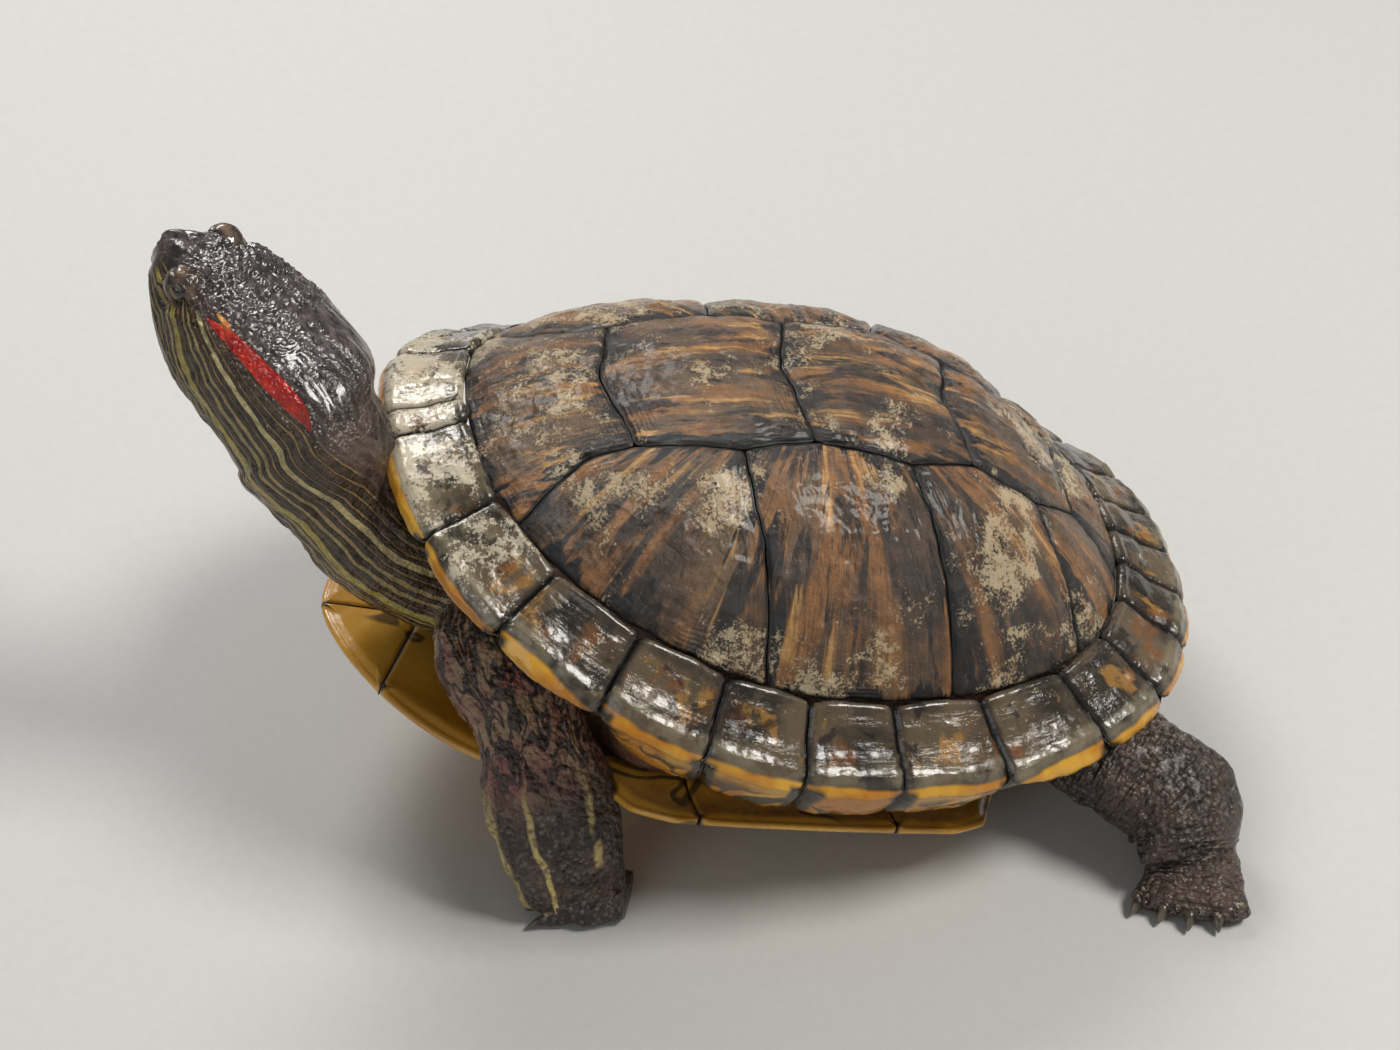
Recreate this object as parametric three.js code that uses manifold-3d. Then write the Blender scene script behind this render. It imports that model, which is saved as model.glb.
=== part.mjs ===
// A red-eared slider turtle at life size, propped on its forelegs with the neck stretched up.
// Millimetres, +Z up, the floor at z = 0. It faces -Y and its left side is +X.
import * as THREE from 'three';
import Module from 'manifold-3d';

const wasm = await Module();
wasm.setup();

// The shell has axes of its own: x forward, y to the animal's left, z up from the lowest rim.
const shell = {
  halfLength: 110,
  halfWidth: 84.7,
  domeHeight: 66.4,
  plastronDepth: 28,
  outlinePower: 2.36,
  rearBroadening: 0.01,
  crownShift: 4,
  frontRise: 36.5,
  frontRisePower: 1.56,
  rearRise: 12.5,
  seamRadius: 0.811,
  sideStep: 16,
  frontStep: 7.5,
  rearStep: 8.8,
  crownRound: 0.056,
  flankRound: 0.315,
};
const noseUp = THREE.MathUtils.degToRad(12);
const restingEnd = 94.6;
const rimLift = restingEnd * Math.sin(noseUp) + shell.plastronDepth * Math.cos(noseUp);
const standAt = { x: -3.2, y: 18.2 };
const clearance = 0.35;
const plateThickness = 3;
const plateGap = 0.2;

const colours = {
  scute: 0x4a3626,
  marginal: 0x5b543c,
  plastron: 0xc98a2b,
  skin: 0x3d3532,
  limb: 0x40383a,
  eye: 0x6b4a1e,
};

function material(colour, roughness) {
  return new THREE.MeshStandardMaterial({ color: colour, roughness, metalness: 0 });
}

const v3 = (x, y, z) => new THREE.Vector3(x, y, z);
const { lerp } = THREE.MathUtils;
const power = (base, exponent) => Math.sign(base) * Math.pow(Math.abs(base), exponent);
const step = (a, b, x) => THREE.MathUtils.smoothstep(x, a, b);

const average = (points) => points
  .reduce((sum, point) => sum.add(point), v3(0, 0, 0))
  .divideScalar(points.length);

const turtle = new THREE.Group();
turtle.position.set(standAt.x, standAt.y, 0);

function addMesh(name, geometry, surface) {
  const mesh = new THREE.Mesh(geometry, surface);
  mesh.name = name;
  turtle.add(mesh);
}

// ---- closed bodies from rings of points -------------------------------------------------

// Joins rings of equal count into one closed body. The first and last ring hold one point each.
function loft(rings) {
  const points = rings.flat();
  const starts = [];
  let total = 0;
  for (const ring of rings) {
    starts.push(total);
    total += ring.length;
  }
  const faces = [];
  for (let i = 0; i + 1 < rings.length; i += 1) {
    const near = rings[i].length;
    const far = rings[i + 1].length;
    const count = Math.max(near, far);
    for (let j = 0; j < count; j += 1) {
      const next = (j + 1) % count;
      const a = starts[i] + (j % near);
      const b = starts[i] + (next % near);
      const c = starts[i + 1] + (j % far);
      const d = starts[i + 1] + (next % far);
      if (far > 1) faces.push(a, c, d);
      if (near > 1) faces.push(a, d, b);
    }
  }
  return facingOut(points, faces);
}

// Turns every face round where the volume they enclose comes out negative.
function facingOut(points, faces) {
  let volume = 0;
  for (let i = 0; i < faces.length; i += 3) {
    const [a, b, c] = [points[faces[i]], points[faces[i + 1]], points[faces[i + 2]]];
    volume += a.dot(v3(0, 0, 0).crossVectors(b, c));
  }
  const ordered = volume < 0 ? faces.slice().reverse() : faces;
  const geometry = new THREE.BufferGeometry().setFromPoints(points);
  geometry.setIndex(ordered);
  return geometry;
}

function toSolid(geometry) {
  return new wasm.Manifold(new wasm.Mesh({
    numProp: 3,
    vertProperties: Float32Array.from(geometry.attributes.position.array),
    triVerts: Uint32Array.from(geometry.index.array),
  }));
}

function toGeometry(solid) {
  const mesh = solid.getMesh();
  const geometry = new THREE.BufferGeometry();
  geometry.setAttribute('position', new THREE.BufferAttribute(mesh.vertProperties, 3));
  geometry.setIndex(new THREE.BufferAttribute(mesh.triVerts, 1));
  return geometry;
}

// ---- the shell's surface ----------------------------------------------------------------

const toFloor = new THREE.Matrix4().makeBasis(
  v3(0, -Math.cos(noseUp), Math.sin(noseUp)),
  v3(1, 0, 0),
  v3(0, Math.sin(noseUp), Math.cos(noseUp)),
).setPosition(0, 0, rimLift);
const place = (point) => point.clone().applyMatrix4(toFloor);

// Distance from the middle in the plan, 1 on the rim, for plan places from -1 to 1.
const reach = (px, py) => Math.pow(
  Math.pow(Math.abs(px), shell.outlinePower) + Math.pow(Math.abs(py), shell.outlinePower),
  1 / shell.outlinePower,
);

// The plan place at a share of the way to the rim, in the direction of an angle from the nose.
function planAt(angle, share) {
  const [px, py] = [Math.cos(angle), Math.sin(angle)];
  const size = share / reach(px, py);
  return [px * size, py * size];
}

function carapacePoint(px, py) {
  const share = reach(px, py);
  const angle = Math.atan2(py, px);
  const front = Math.max(Math.cos(angle), 0);
  const rear = Math.max(-Math.cos(angle), 0);
  const side = Math.sin(angle) ** 2;
  const rim = shell.frontRise * front ** shell.frontRisePower + shell.rearRise * rear ** 2;
  const seam = rim + shell.sideStep * side + shell.frontStep * front ** 2 + shell.rearStep * rear ** 2;
  const round = shell.crownRound + shell.flankRound * side;
  const u = share / shell.seamRadius;
  const dome = seam + (shell.domeHeight - seam) * (1 - (1 - round) * u ** 2 - round * u ** 6);
  const slope = lerp(seam, rim, (share - shell.seamRadius) / (1 - shell.seamRadius));
  return v3(
    shell.halfLength * px + shell.crownShift * (1 - share ** 2),
    shell.halfWidth * py * (1 - shell.rearBroadening * px),
    u <= 1 ? dome : slope,
  );
}

// A point under the dome, at a depth square to its surface.
function underCarapace(px, py, depth) {
  const away = 0.01;
  const along = carapacePoint(px + away, py).sub(carapacePoint(px - away, py));
  const across = carapacePoint(px, py + away).sub(carapacePoint(px, py - away));
  return carapacePoint(px, py).addScaledVector(along.cross(across).normalize(), -depth);
}

// ---- scutes of the dome -----------------------------------------------------------------

// Corners of the plan, shared by neighbouring scutes. Each seam is bowed a little by its middle point.
const backbone = [
  { front: 0.795, frontHalf: 0.075 },
  { front: 0.461, frontHalf: 0.285, bow: 0.05 },
  { front: 0.045, frontHalf: 0.29, bow: 0.05 },
  { front: -0.355, frontHalf: 0.25, bow: 0.04 },
  { front: -0.66, frontHalf: 0.16, bow: 0.02 },
];
const flankCorners = [
  [0.215, 0.325],
  [-0.185, 0.32],
  [-0.525, 0.255],
];
const seamAngles = [31, 79, 110.5, 138, 163].map(THREE.MathUtils.degToRad);
const seamPlace = (angle) => planAt(angle, shell.seamRadius);
const mirrored = (places) => places.map(([px, py]) => [px, -py]).reverse();

function arcPlaces(from, to, count) {
  const places = [];
  for (let i = 0; i <= count; i += 1) places.push(seamPlace(lerp(from, to, i / count)));
  return places;
}

function vertebralOutline(index) {
  const here = backbone[index];
  const next = backbone[index + 1];
  const left = [];
  if (index === 0) {
    left.push(...arcPlaces(0.07, seamAngles[0], 3), [0.56, 0.295], [next.front, next.frontHalf]);
  } else {
    left.push([here.front, here.frontHalf]);
  }
  if (index > 0 && index < 4) left.push(flankCorners[index - 1], [next.front, next.frontHalf]);
  if (index === 4) left.push(seamPlace(seamAngles[4]), seamPlace(Math.PI * 0.965));
  const middleFront = here.bow ? [[here.front + here.bow, 0]] : [];
  const middleRear = next ? [[next.front + next.bow, 0]] : [];
  return [...middleFront, ...left, ...middleRear, ...mirrored(left)];
}

function costalOutline(index) {
  const top = [
    [[0.56, 0.295], [backbone[1].front, backbone[1].frontHalf], flankCorners[0]],
    [flankCorners[0], [backbone[2].front, backbone[2].frontHalf], flankCorners[1]],
    [flankCorners[1], [backbone[3].front, backbone[3].frontHalf], flankCorners[2]],
    [flankCorners[2], [backbone[4].front, backbone[4].frontHalf]],
  ][index];
  const rim = arcPlaces(seamAngles[index], seamAngles[index + 1], 4);
  return [...rim, ...top.reverse()];
}

// Moves each edge of an outline inwards by the gap, in millimetres on the plan.
function insetOutline(outline, gap) {
  const flat = outline.map(([px, py]) => new THREE.Vector2(px * shell.halfLength, py * shell.halfWidth));
  const turn = Math.sign(THREE.ShapeUtils.area(flat));
  return flat.map((point, i) => {
    const before = point.clone().sub(flat[(i + flat.length - 1) % flat.length]).normalize();
    const after = flat[(i + 1) % flat.length].clone().sub(point).normalize();
    const inward = new THREE.Vector2(-before.y - after.y, before.x + after.x).multiplyScalar(turn);
    inward.normalize();
    const slant = Math.max(inward.dot(new THREE.Vector2(-before.y, before.x).multiplyScalar(turn)), 0.4);
    const moved = point.clone().addScaledVector(inward, gap / slant);
    return [moved.x / shell.halfLength, moved.y / shell.halfWidth];
  });
}

// Puts extra places on the long edges so that the plate follows the dome.
function splitEdges(outline, longest) {
  const places = [];
  outline.forEach(([px, py], i) => {
    const [qx, qy] = outline[(i + 1) % outline.length];
    const length = Math.hypot((qx - px) * shell.halfLength, (qy - py) * shell.halfWidth);
    const parts = Math.max(1, Math.round(length / longest));
    for (let j = 0; j < parts; j += 1) places.push([lerp(px, qx, j / parts), lerp(py, qy, j / parts)]);
  });
  return places;
}

function scuteGeometry(outline) {
  const edge = insetOutline(splitEdges(outline, 17), plateGap);
  const middle = edge.reduce((sum, [px, py]) => [sum[0] + px / edge.length, sum[1] + py / edge.length], [0, 0]);
  const ring = (share, depth) => edge.map(([px, py]) => (
    place(underCarapace(lerp(middle[0], px, share), lerp(middle[1], py, share), depth))
  ));
  const pole = (depth) => [place(underCarapace(middle[0], middle[1], depth))];
  return loft([
    pole(-0.6), ring(0.55, -0.5), ring(1, 0),
    ring(1, plateThickness), ring(0.55, plateThickness), pole(plateThickness),
  ]);
}

const scuteSurface = material(colours.scute, 0.3);
for (let i = 0; i < 5; i += 1) {
  addMesh(`vertebral_${i + 1}`, scuteGeometry(vertebralOutline(i)), scuteSurface);
}
for (let i = 0; i < 4; i += 1) {
  addMesh(`costal_left_${i + 1}`, scuteGeometry(costalOutline(i)), scuteSurface);
  addMesh(`costal_right_${i + 1}`, scuteGeometry(mirrored(costalOutline(i))), scuteSurface);
}

// ---- rim of marginal scutes -------------------------------------------------------------

const marginalAngles = [3.6, 24.7, 41.9, 57.9, 72.5, 86.2, 99.8, 114.7, 131.2, 144.9, 157.5, 169, 180]
  .map(THREE.MathUtils.degToRad);
const bridgeFront = THREE.MathUtils.degToRad(56);
const bridgeRear = THREE.MathUtils.degToRad(119);
const bridgeBlend = 0.16;

// 1 along the bridge, where the rim turns down to the plastron, and 0 at the free rim.
const onBridge = (angle) => (
  step(bridgeFront - bridgeBlend, bridgeFront + bridgeBlend, Math.abs(angle))
  * (1 - step(bridgeRear - bridgeBlend, bridgeRear + bridgeBlend, Math.abs(angle)))
);

function rimPoint(angle, share, lift) {
  const [px, py] = planAt(angle, share);
  const point = carapacePoint(px, py);
  point.z += lift;
  return point;
}

// The rim's cross-section at one angle: seam, outer face, lip, underside and inner wall.
// To grow it moves every point that far away from the section's middle.
function rimSection(angle, grow) {
  const bridge = onBridge(angle);
  const inner = shell.seamRadius + 0.004;
  const lip = rimPoint(angle, 1, 0);
  const under = rimPoint(angle, lerp(0.86, 0.9, bridge), 0);
  const section = [
    rimPoint(angle, inner, 0),
    rimPoint(angle, lerp(inner, 1, 0.4), 1.1),
    rimPoint(angle, lerp(inner, 1, 0.78), 0.8),
    lip,
    v3(lip.x * 0.988, lip.y * 0.988, lip.z - 2.6),
    v3(under.x, under.y, lip.z - lerp(1.2, 12.5, bridge)),
    rimPoint(angle, inner, -lerp(5, 10, bridge)),
  ].map(place);
  const middle = average(section);
  return section.map((point) => point.addScaledVector(point.clone().sub(middle).normalize(), grow));
}

function rimGeometry(from, to, steps, grow = 0) {
  const rings = [];
  for (let i = 0; i <= steps; i += 1) rings.push(rimSection(lerp(from, to, i / steps), grow));
  return loft([[average(rings[0])], ...rings, [average(rings[steps])]]);
}

function marginalGeometry(from, to, steps) {
  const gapAngle = plateGap / shell.halfWidth;
  return rimGeometry(from + gapAngle, to - gapAngle, steps);
}

const marginalSurface = material(colours.marginal, 0.28);
addMesh('nuchal', marginalGeometry(-marginalAngles[0], marginalAngles[0], 1), marginalSurface);
for (let i = 0; i < 12; i += 1) {
  const [from, to] = [marginalAngles[i], marginalAngles[i + 1]];
  addMesh(`marginal_left_${i + 1}`, marginalGeometry(from, to, 2), marginalSurface);
  addMesh(`marginal_right_${i + 1}`, marginalGeometry(-to, -from, 2), marginalSurface);
}

// ---- plastron -----------------------------------------------------------------------------

const plastronThickness = 4.5;
const plastron = {
  frontX: 116,
  rearX: -98,
  axillaX: 50,
  inguinalX: -56,
  frontHalf: 56,
  waistHalf: 57,
  rearHalf: 47,
  bridgeHalf: 76,
  bridgeFrontX: 40,
  bridgeRearX: -46,
};

// Half of the outline, from the middle of the front lip round the left side to the notched rear.
function plastronHalf() {
  const half = [];
  for (let i = 0; i <= 6; i += 1) {
    const angle = (i / 6) * Math.PI * 0.5;
    half.push([
      lerp(plastron.axillaX + 10, plastron.frontX, power(Math.cos(angle), 1.1)),
      plastron.frontHalf * power(Math.sin(angle), 1.3),
    ]);
  }
  half.push([plastron.axillaX, plastron.waistHalf]);
  half.push([plastron.bridgeFrontX + 4, plastron.bridgeHalf - 7]);
  half.push([plastron.bridgeFrontX - 6, plastron.bridgeHalf - 1]);
  half.push([16, plastron.bridgeHalf]);
  half.push([-8, plastron.bridgeHalf]);
  half.push([plastron.bridgeRearX + 6, plastron.bridgeHalf - 2]);
  half.push([plastron.bridgeRearX - 4, plastron.bridgeHalf - 8]);
  half.push([plastron.inguinalX, plastron.waistHalf - 3]);
  half.push([-62, plastron.rearHalf]);
  for (let i = 1; i <= 4; i += 1) {
    const angle = (i / 5) * Math.PI * 0.5;
    half.push([
      lerp(-63, plastron.rearX, power(Math.sin(angle), 0.9)),
      lerp(0, plastron.rearHalf, power(Math.cos(angle), 0.75)),
    ]);
  }
  half.push([plastron.rearX + 4, 0]);
  return half;
}

// Height of the plastron's underside: flat, rising at the bridges and at the front lip.
function plastronUnder(x, y) {
  const bridge = Math.max((Math.abs(y) - 54) / (plastron.bridgeHalf - 54), 0);
  const lip = step(80, plastron.frontX + 12, x);
  return -shell.plastronDepth + 6 * bridge ** 2 + 3 * lip;
}

function plastronGeometry(grow) {
  const half = plastronHalf();
  const outline = [...half, ...half.slice(1, -1).map(([x, y]) => [x, -y]).reverse()];
  const wider = 1 + grow / plastron.waistHalf;
  const ring = (share, lift) => outline.map(([x, y]) => {
    const [rx, ry] = [x * share * wider, y * share * wider];
    return place(v3(rx, ry, plastronUnder(rx, ry) + lift));
  });
  const pole = (lift) => [place(v3(0, 0, plastronUnder(0, 0) + lift))];
  const under = -grow;
  const top = plastronThickness + grow;
  return loft([
    pole(under), ring(0.74, under), ring(0.985, under + 0.2), ring(1, 1.6),
    ring(0.985, top - 0.4), ring(0.74, top), pole(top),
  ]);
}

// Everything that would reach below the floor is cut off level, which leaves a small flat.
function cutLevel(solid) {
  return solid.trimByPlane([0, 0, 1], 0);
}

// The rear end is sunk a little so that the level cut gives it a flat to rest on.
const plastronSink = 0.5;
const plastronSolid = cutLevel(toSolid(plastronGeometry(0).translate(0, 0, -plastronSink)));

// Its scutes in pairs from front to rear, and where along the shell the seams between them lie.
const plastronPlates = ['gular', 'humeral', 'pectoral', 'abdominal', 'femoral', 'anal'];
const plastronSeams = [90, 57, 28, -24, -64];
const shellForward = v3(0, -Math.cos(noseUp), Math.sin(noseUp));
const plastronSurface = material(colours.plastron, 0.35);
plastronPlates.forEach((name, i) => {
  const level = (seam) => plastronSeams[seam] + shellForward.z * rimLift;
  const backward = shellForward.clone().negate().toArray();
  let plate = plastronSolid;
  if (i > 0) plate = plate.trimByPlane(backward, plateGap - level(i - 1));
  if (i < plastronSeams.length) plate = plate.trimByPlane(shellForward.toArray(), level(i) + plateGap);
  addMesh(`plastron_${name}`, toGeometry(plate), plastronSurface);
});

// ---- trunk inside the shell -----------------------------------------------------------------

const trunkSides = 40;
const trunkDepth = plateThickness + 2.4;

// The trunk fills the shell, and its wall is set back between the limbs at the front and the rear.
function trunkGeometry(grow) {
  const growShare = grow / shell.halfWidth;
  const around = (make) => {
    const ring = [];
    for (let j = 0; j < trunkSides; j += 1) ring.push(place(make(((j + 0.5) / trunkSides) * 2 * Math.PI)));
    return ring;
  };
  const dome = (share) => around((angle) => {
    const [px, py] = planAt(angle, share);
    return underCarapace(px, py, trunkDepth - grow);
  });
  const wall = (share, setBack, level) => around((angle) => {
    const open = 1 - onBridge(Math.abs(angle > Math.PI ? angle - 2 * Math.PI : angle));
    const [px, py] = planAt(angle, share - setBack * open + growShare);
    const top = underCarapace(px, py, trunkDepth - grow);
    const floor = plastronUnder(top.x, top.y) + plastronThickness + 1 - grow;
    top.z = lerp(floor, top.z, level);
    return top;
  });
  const crown = underCarapace(0, 0, trunkDepth - grow);
  const base = v3(0, 0, -shell.plastronDepth + plastronThickness + 1 - grow);
  return loft([
    [place(crown)], dome(0.25), dome(0.48), dome(0.68),
    wall(0.79, 0, 1), wall(0.785, 0.03, 0.72), wall(0.78, 0.07, 0.4), wall(0.76, 0.08, 0),
    [place(base)],
  ]);
}

addMesh('trunk', trunkGeometry(0), material(colours.skin, 0.6));
const trunkCutter = toSolid(trunkGeometry(clearance));
const plastronCutter = toSolid(plastronGeometry(clearance).translate(0, 0, -plastronSink));
const rimCutter = toSolid(rimGeometry(-0.02, Math.PI + 0.02, 26, clearance))
  .add(toSolid(rimGeometry(-Math.PI - 0.02, 0.02, 26, clearance)));
const shellCutter = trunkCutter.add(plastronCutter).add(rimCutter);
const clearOfShell = (solid) => solid.subtract(shellCutter);

// ---- swept flesh ------------------------------------------------------------------------------

// Sweeps an oval along stations {at, wide, thick}. Broad is the direction of the wide half.
function sweep(stations, { sides, steps, broad, rounded = 1 }) {
  const centre = new THREE.CatmullRomCurve3(stations.map(({ at }) => v3(...at)), false, 'centripetal');
  const sizes = new THREE.CatmullRomCurve3(stations.map(({ wide, thick }) => v3(wide, thick, 0)));
  const rings = [];
  for (let i = 0; i <= steps; i += 1) {
    const t = i / steps;
    const middle = centre.getPoint(t);
    const along = centre.getTangent(t);
    const size = sizes.getPoint(t);
    const across = v3(...broad).addScaledVector(along, -v3(...broad).dot(along)).normalize();
    const through = along.clone().cross(across);
    const ring = [];
    for (let j = 0; j < sides; j += 1) {
      const angle = (j / sides) * 2 * Math.PI;
      ring.push(middle.clone()
        .addScaledVector(across, size.x * power(Math.cos(angle), rounded))
        .addScaledVector(through, size.y * power(Math.sin(angle), rounded)));
    }
    rings.push(ring);
  }
  return loft([[centre.getPoint(0)], ...rings, [centre.getPoint(1)]]);
}

// ---- head and neck -----------------------------------------------------------------------------

const headTurn = THREE.MathUtils.degToRad(33);
const headRaise = THREE.MathUtils.degToRad(32.4);
const headForward = v3(
  -Math.sin(headTurn) * Math.cos(headRaise),
  -Math.cos(headTurn) * Math.cos(headRaise),
  Math.sin(headRaise),
);
const headLeft = v3(Math.cos(headTurn), -Math.sin(headTurn), 0);
const headUp = headForward.clone().cross(headLeft);
const snoutTip = v3(-23.9, -147.3, 153.5);
const fromHead = new THREE.Matrix4().makeBasis(headForward, headLeft, headUp).setPosition(snoutTip);
const onHead = (x, y, z) => v3(x, y, z).applyMatrix4(fromHead);

// Stations behind the tip of the snout: height of the crown, height of the throat, half width.
const headStations = [
  { back: 0, crown: -1.6, throat: -8, half: 3 },
  { back: 1.6, crown: -0.4, throat: -10.2, half: 5 },
  { back: 5, crown: 1.4, throat: -14.7, half: 8.5 },
  { back: 10, crown: 3.4, throat: -19.5, half: 12.8 },
  { back: 16, crown: 5.2, throat: -24.2, half: 16.6 },
  { back: 23, crown: 5.6, throat: -27.9, half: 19 },
  { back: 31, crown: 5.3, throat: -30.7, half: 20.5 },
  { back: 39, crown: 4.4, throat: -32.9, half: 21.6 },
  { back: 47, crown: 3.2, throat: -34, half: 21.8 },
];
const headSides = 20;

function headRing({ back, crown, throat, half }) {
  const ring = [];
  const level = lerp(crown, throat, 0.5);
  for (let j = 0; j < headSides; j += 1) {
    const angle = (j / headSides) * 2 * Math.PI;
    const [c, s] = [Math.cos(angle), Math.sin(angle)];
    const height = s > 0 ? crown - level : level - throat;
    ring.push(onHead(-back, half * power(c, 0.85), level + height * power(s, s > 0 ? 0.8 : 0.88)));
  }
  return ring;
}

function headGeometry() {
  const rings = headStations.map(headRing);
  const last = headStations[headStations.length - 1];
  return loft([
    [onHead(0.6, 0, -4.4)], ...rings,
    [onHead(-last.back, 0, lerp(last.crown, last.throat, 0.5))],
  ]);
}

const eyeball = { back: 12.2, side: 9.5, up: -1.5, radius: 4.2 };

function eyeGeometry(side, radius) {
  const centre = onHead(-eyeball.back, side * eyeball.side, eyeball.up);
  const ball = new THREE.SphereGeometry(radius, 12, 8);
  const rings = [[v3(0, radius, 0)]];
  const across = ball.parameters.widthSegments;
  for (let i = 1; i < ball.parameters.heightSegments; i += 1) {
    const ring = [];
    for (let j = 0; j < across; j += 1) {
      ring.push(new THREE.Vector3().fromBufferAttribute(ball.attributes.position, i * (across + 1) + j));
    }
    rings.push(ring);
  }
  rings.push([v3(0, -radius, 0)]);
  return loft(rings).translate(centre.x, centre.y, centre.z);
}

const neckStations = [
  { at: onHead(-43, 0, -14.6).toArray(), wide: 21.4, thick: 18.6 },
  { at: [-2.9, -119.3, 111.3], wide: 21.8, thick: 19.1 },
  { at: [2.4, -119.4, 106.2], wide: 19, thick: 16.8 },
  { at: [4.5, -109.6, 89.2], wide: 17.4, thick: 16.4 },
  { at: [3.9, -98.1, 73.1], wide: 19, thick: 18 },
  { at: [1, -80, 61], wide: 24, thick: 17 },
  { at: [0, -55, 57], wide: 30, thick: 17 },
];

const skinSurface = material(colours.skin, 0.55);
const eyeSurface = material(colours.eye, 0.15);
const neckShape = { sides: 16, steps: 12, broad: headLeft.toArray() };
const neckSolid = toSolid(sweep(neckStations, neckShape));
const grownNeck = neckStations.map(({ at, wide, thick }) => (
  { at, wide: wide + clearance, thick: thick + clearance }
));
const neckCutter = toSolid(sweep(grownNeck, neckShape));
let headSolid = toSolid(headGeometry());
for (const [name, side] of [['eye_left', 1], ['eye_right', -1]]) {
  addMesh(name, eyeGeometry(side, eyeball.radius), eyeSurface);
  headSolid = headSolid.subtract(toSolid(eyeGeometry(side, eyeball.radius + clearance)));
}
const headBack = headStations[headStations.length - 1].back;
const jointDistance = headForward.dot(onHead(-headBack + 1, 0, 0));
const backwards = headForward.clone().negate().toArray();
const neckBehind = neckSolid.trimByPlane(backwards, clearance - jointDistance);
addMesh('head', toGeometry(headSolid.trimByPlane(headForward.toArray(), jointDistance)), skinSurface);
addMesh('neck', toGeometry(clearOfShell(neckBehind)), skinSurface);

// ---- limbs --------------------------------------------------------------------------------------

const clawSides = 5;
const footSink = 0.5;

// A claw is a cone laid along its own direction, its base sunk in the toe.
function clawSolid(base, direction, length, radius) {
  const ring = [];
  for (let j = 0; j < clawSides; j += 1) {
    const angle = (j / clawSides) * 2 * Math.PI;
    ring.push(v3(radius * Math.cos(angle), 0, radius * Math.sin(angle)));
  }
  const geometry = loft([[v3(0, 0, 0)], ring, [v3(0, length, 0)]]);
  geometry.applyQuaternion(new THREE.Quaternion().setFromUnitVectors(v3(0, 1, 0), direction));
  return toSolid(geometry.translate(base.x, base.y, base.z));
}

// A foot: a flat palm, toes fanned out from its end and a claw on each of them. It is sunk a little
// below the floor, so that the level cut gives the palm and the toes flats to stand on.
function footSolid(foot) {
  const heel = v3(...foot.heel);
  const forward = v3(Math.cos(foot.heading), Math.sin(foot.heading), 0);
  const broad = v3(-forward.y, forward.x, 0);
  const at = (along, across, z) => heel.clone()
    .addScaledVector(forward, along)
    .addScaledVector(broad, across)
    .setZ(z);
  const { palm, spread, toe } = foot;
  let solid = toSolid(sweep([
    { at: at(-3, 0, palm.height).toArray(), wide: palm.half * 0.72, thick: palm.height * 0.9 },
    { at: at(palm.length * 0.5, 0, palm.height * 0.8).toArray(), wide: palm.half, thick: palm.height * 0.85 },
    { at: at(palm.length, 0, palm.height * 0.6).toArray(), wide: palm.half * 1.02, thick: palm.height * 0.6 },
  ], { sides: 10, steps: 3, broad: broad.toArray() }));
  for (let i = 0; i < 5; i += 1) {
    const side = (i - 2) / 2;
    const angle = foot.heading + side * spread;
    const direction = v3(Math.cos(angle), Math.sin(angle), 0);
    const root = at(palm.length * 0.8, side * palm.half * 0.8, toe.radius);
    const length = toe.length * (1 - 0.22 * Math.abs(side));
    const end = root.clone().addScaledVector(direction, length);
    const across = v3(-direction.y, direction.x, 0);
    solid = solid.add(toSolid(sweep([
      { at: root.toArray(), wide: toe.radius * 1.15, thick: toe.radius },
      { at: end.toArray(), wide: toe.radius * 0.85, thick: toe.radius * 0.85 },
    ], { sides: 6, steps: 1, broad: across.toArray() })));
    if (i < foot.claws) {
      const tip = direction.clone().setZ(-0.16).normalize();
      solid = solid.add(clawSolid(end.clone().addScaledVector(direction, -0.8), tip, toe.claw, toe.radius * 0.75));
    }
  }
  return solid.translate([0, 0, -footSink]);
}

// A limb is one sweep, parted into an upper and a lower length by a thin cut, with a foot joined on.
function addLimb(prefix, upperName, limb, mirror) {
  const flip = (solid) => (mirror ? solid.mirror([1, 0, 0]) : solid);
  const whole = toSolid(sweep(limb.stations, {
    sides: 14, steps: limb.steps, broad: limb.broad, rounded: 0.9,
  }));
  const [x, y, z] = limb.cutAt;
  const direction = v3(...limb.cutAlong).normalize();
  const distance = direction.dot(v3(x, y, z));
  const upper = whole.trimByPlane(direction.clone().negate().toArray(), -distance + clearance / 2);
  const lower = whole.add(footSolid(limb.foot)).trimByPlane(direction.toArray(), distance + clearance / 2);
  const surface = material(colours.limb, 0.6);
  const upperClear = clearOfShell(flip(upper)).subtract(neckCutter);
  addMesh(`${prefix}_${upperName}`, toGeometry(cutLevel(upperClear)), surface);
  addMesh(`${prefix}_foot`, toGeometry(cutLevel(clearOfShell(flip(lower)))), surface);
}

const foreToe = { radius: 2.3, length: 6, claw: 7 };
const foreleg = {
  stations: [
    { at: [18, -61, 58], wide: 22, thick: 16 },
    { at: [34.5, -71, 56.5], wide: 21.8, thick: 13.6 },
    { at: [49, -71, 48.6], wide: 14, thick: 9.8 },
    { at: [58, -68, 36], wide: 16.3, thick: 8.4 },
    { at: [64.5, -65, 23], wide: 16, thick: 7.9 },
    { at: [68, -62, 4], wide: 13, thick: 7 },
  ],
  steps: 9,
  broad: [-0.15, 1, 0],
  cutAt: [55, -68, 45],
  cutAlong: [0.3, 0, -1],
  foot: {
    heel: [70, -52, 6],
    heading: THREE.MathUtils.degToRad(-110),
    palm: { length: 15, half: 10.5, height: 6 },
    spread: 0.5,
    toe: foreToe,
    claws: 5,
  },
};
const hindToe = { radius: 2.6, length: 8, claw: 7 };
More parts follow.
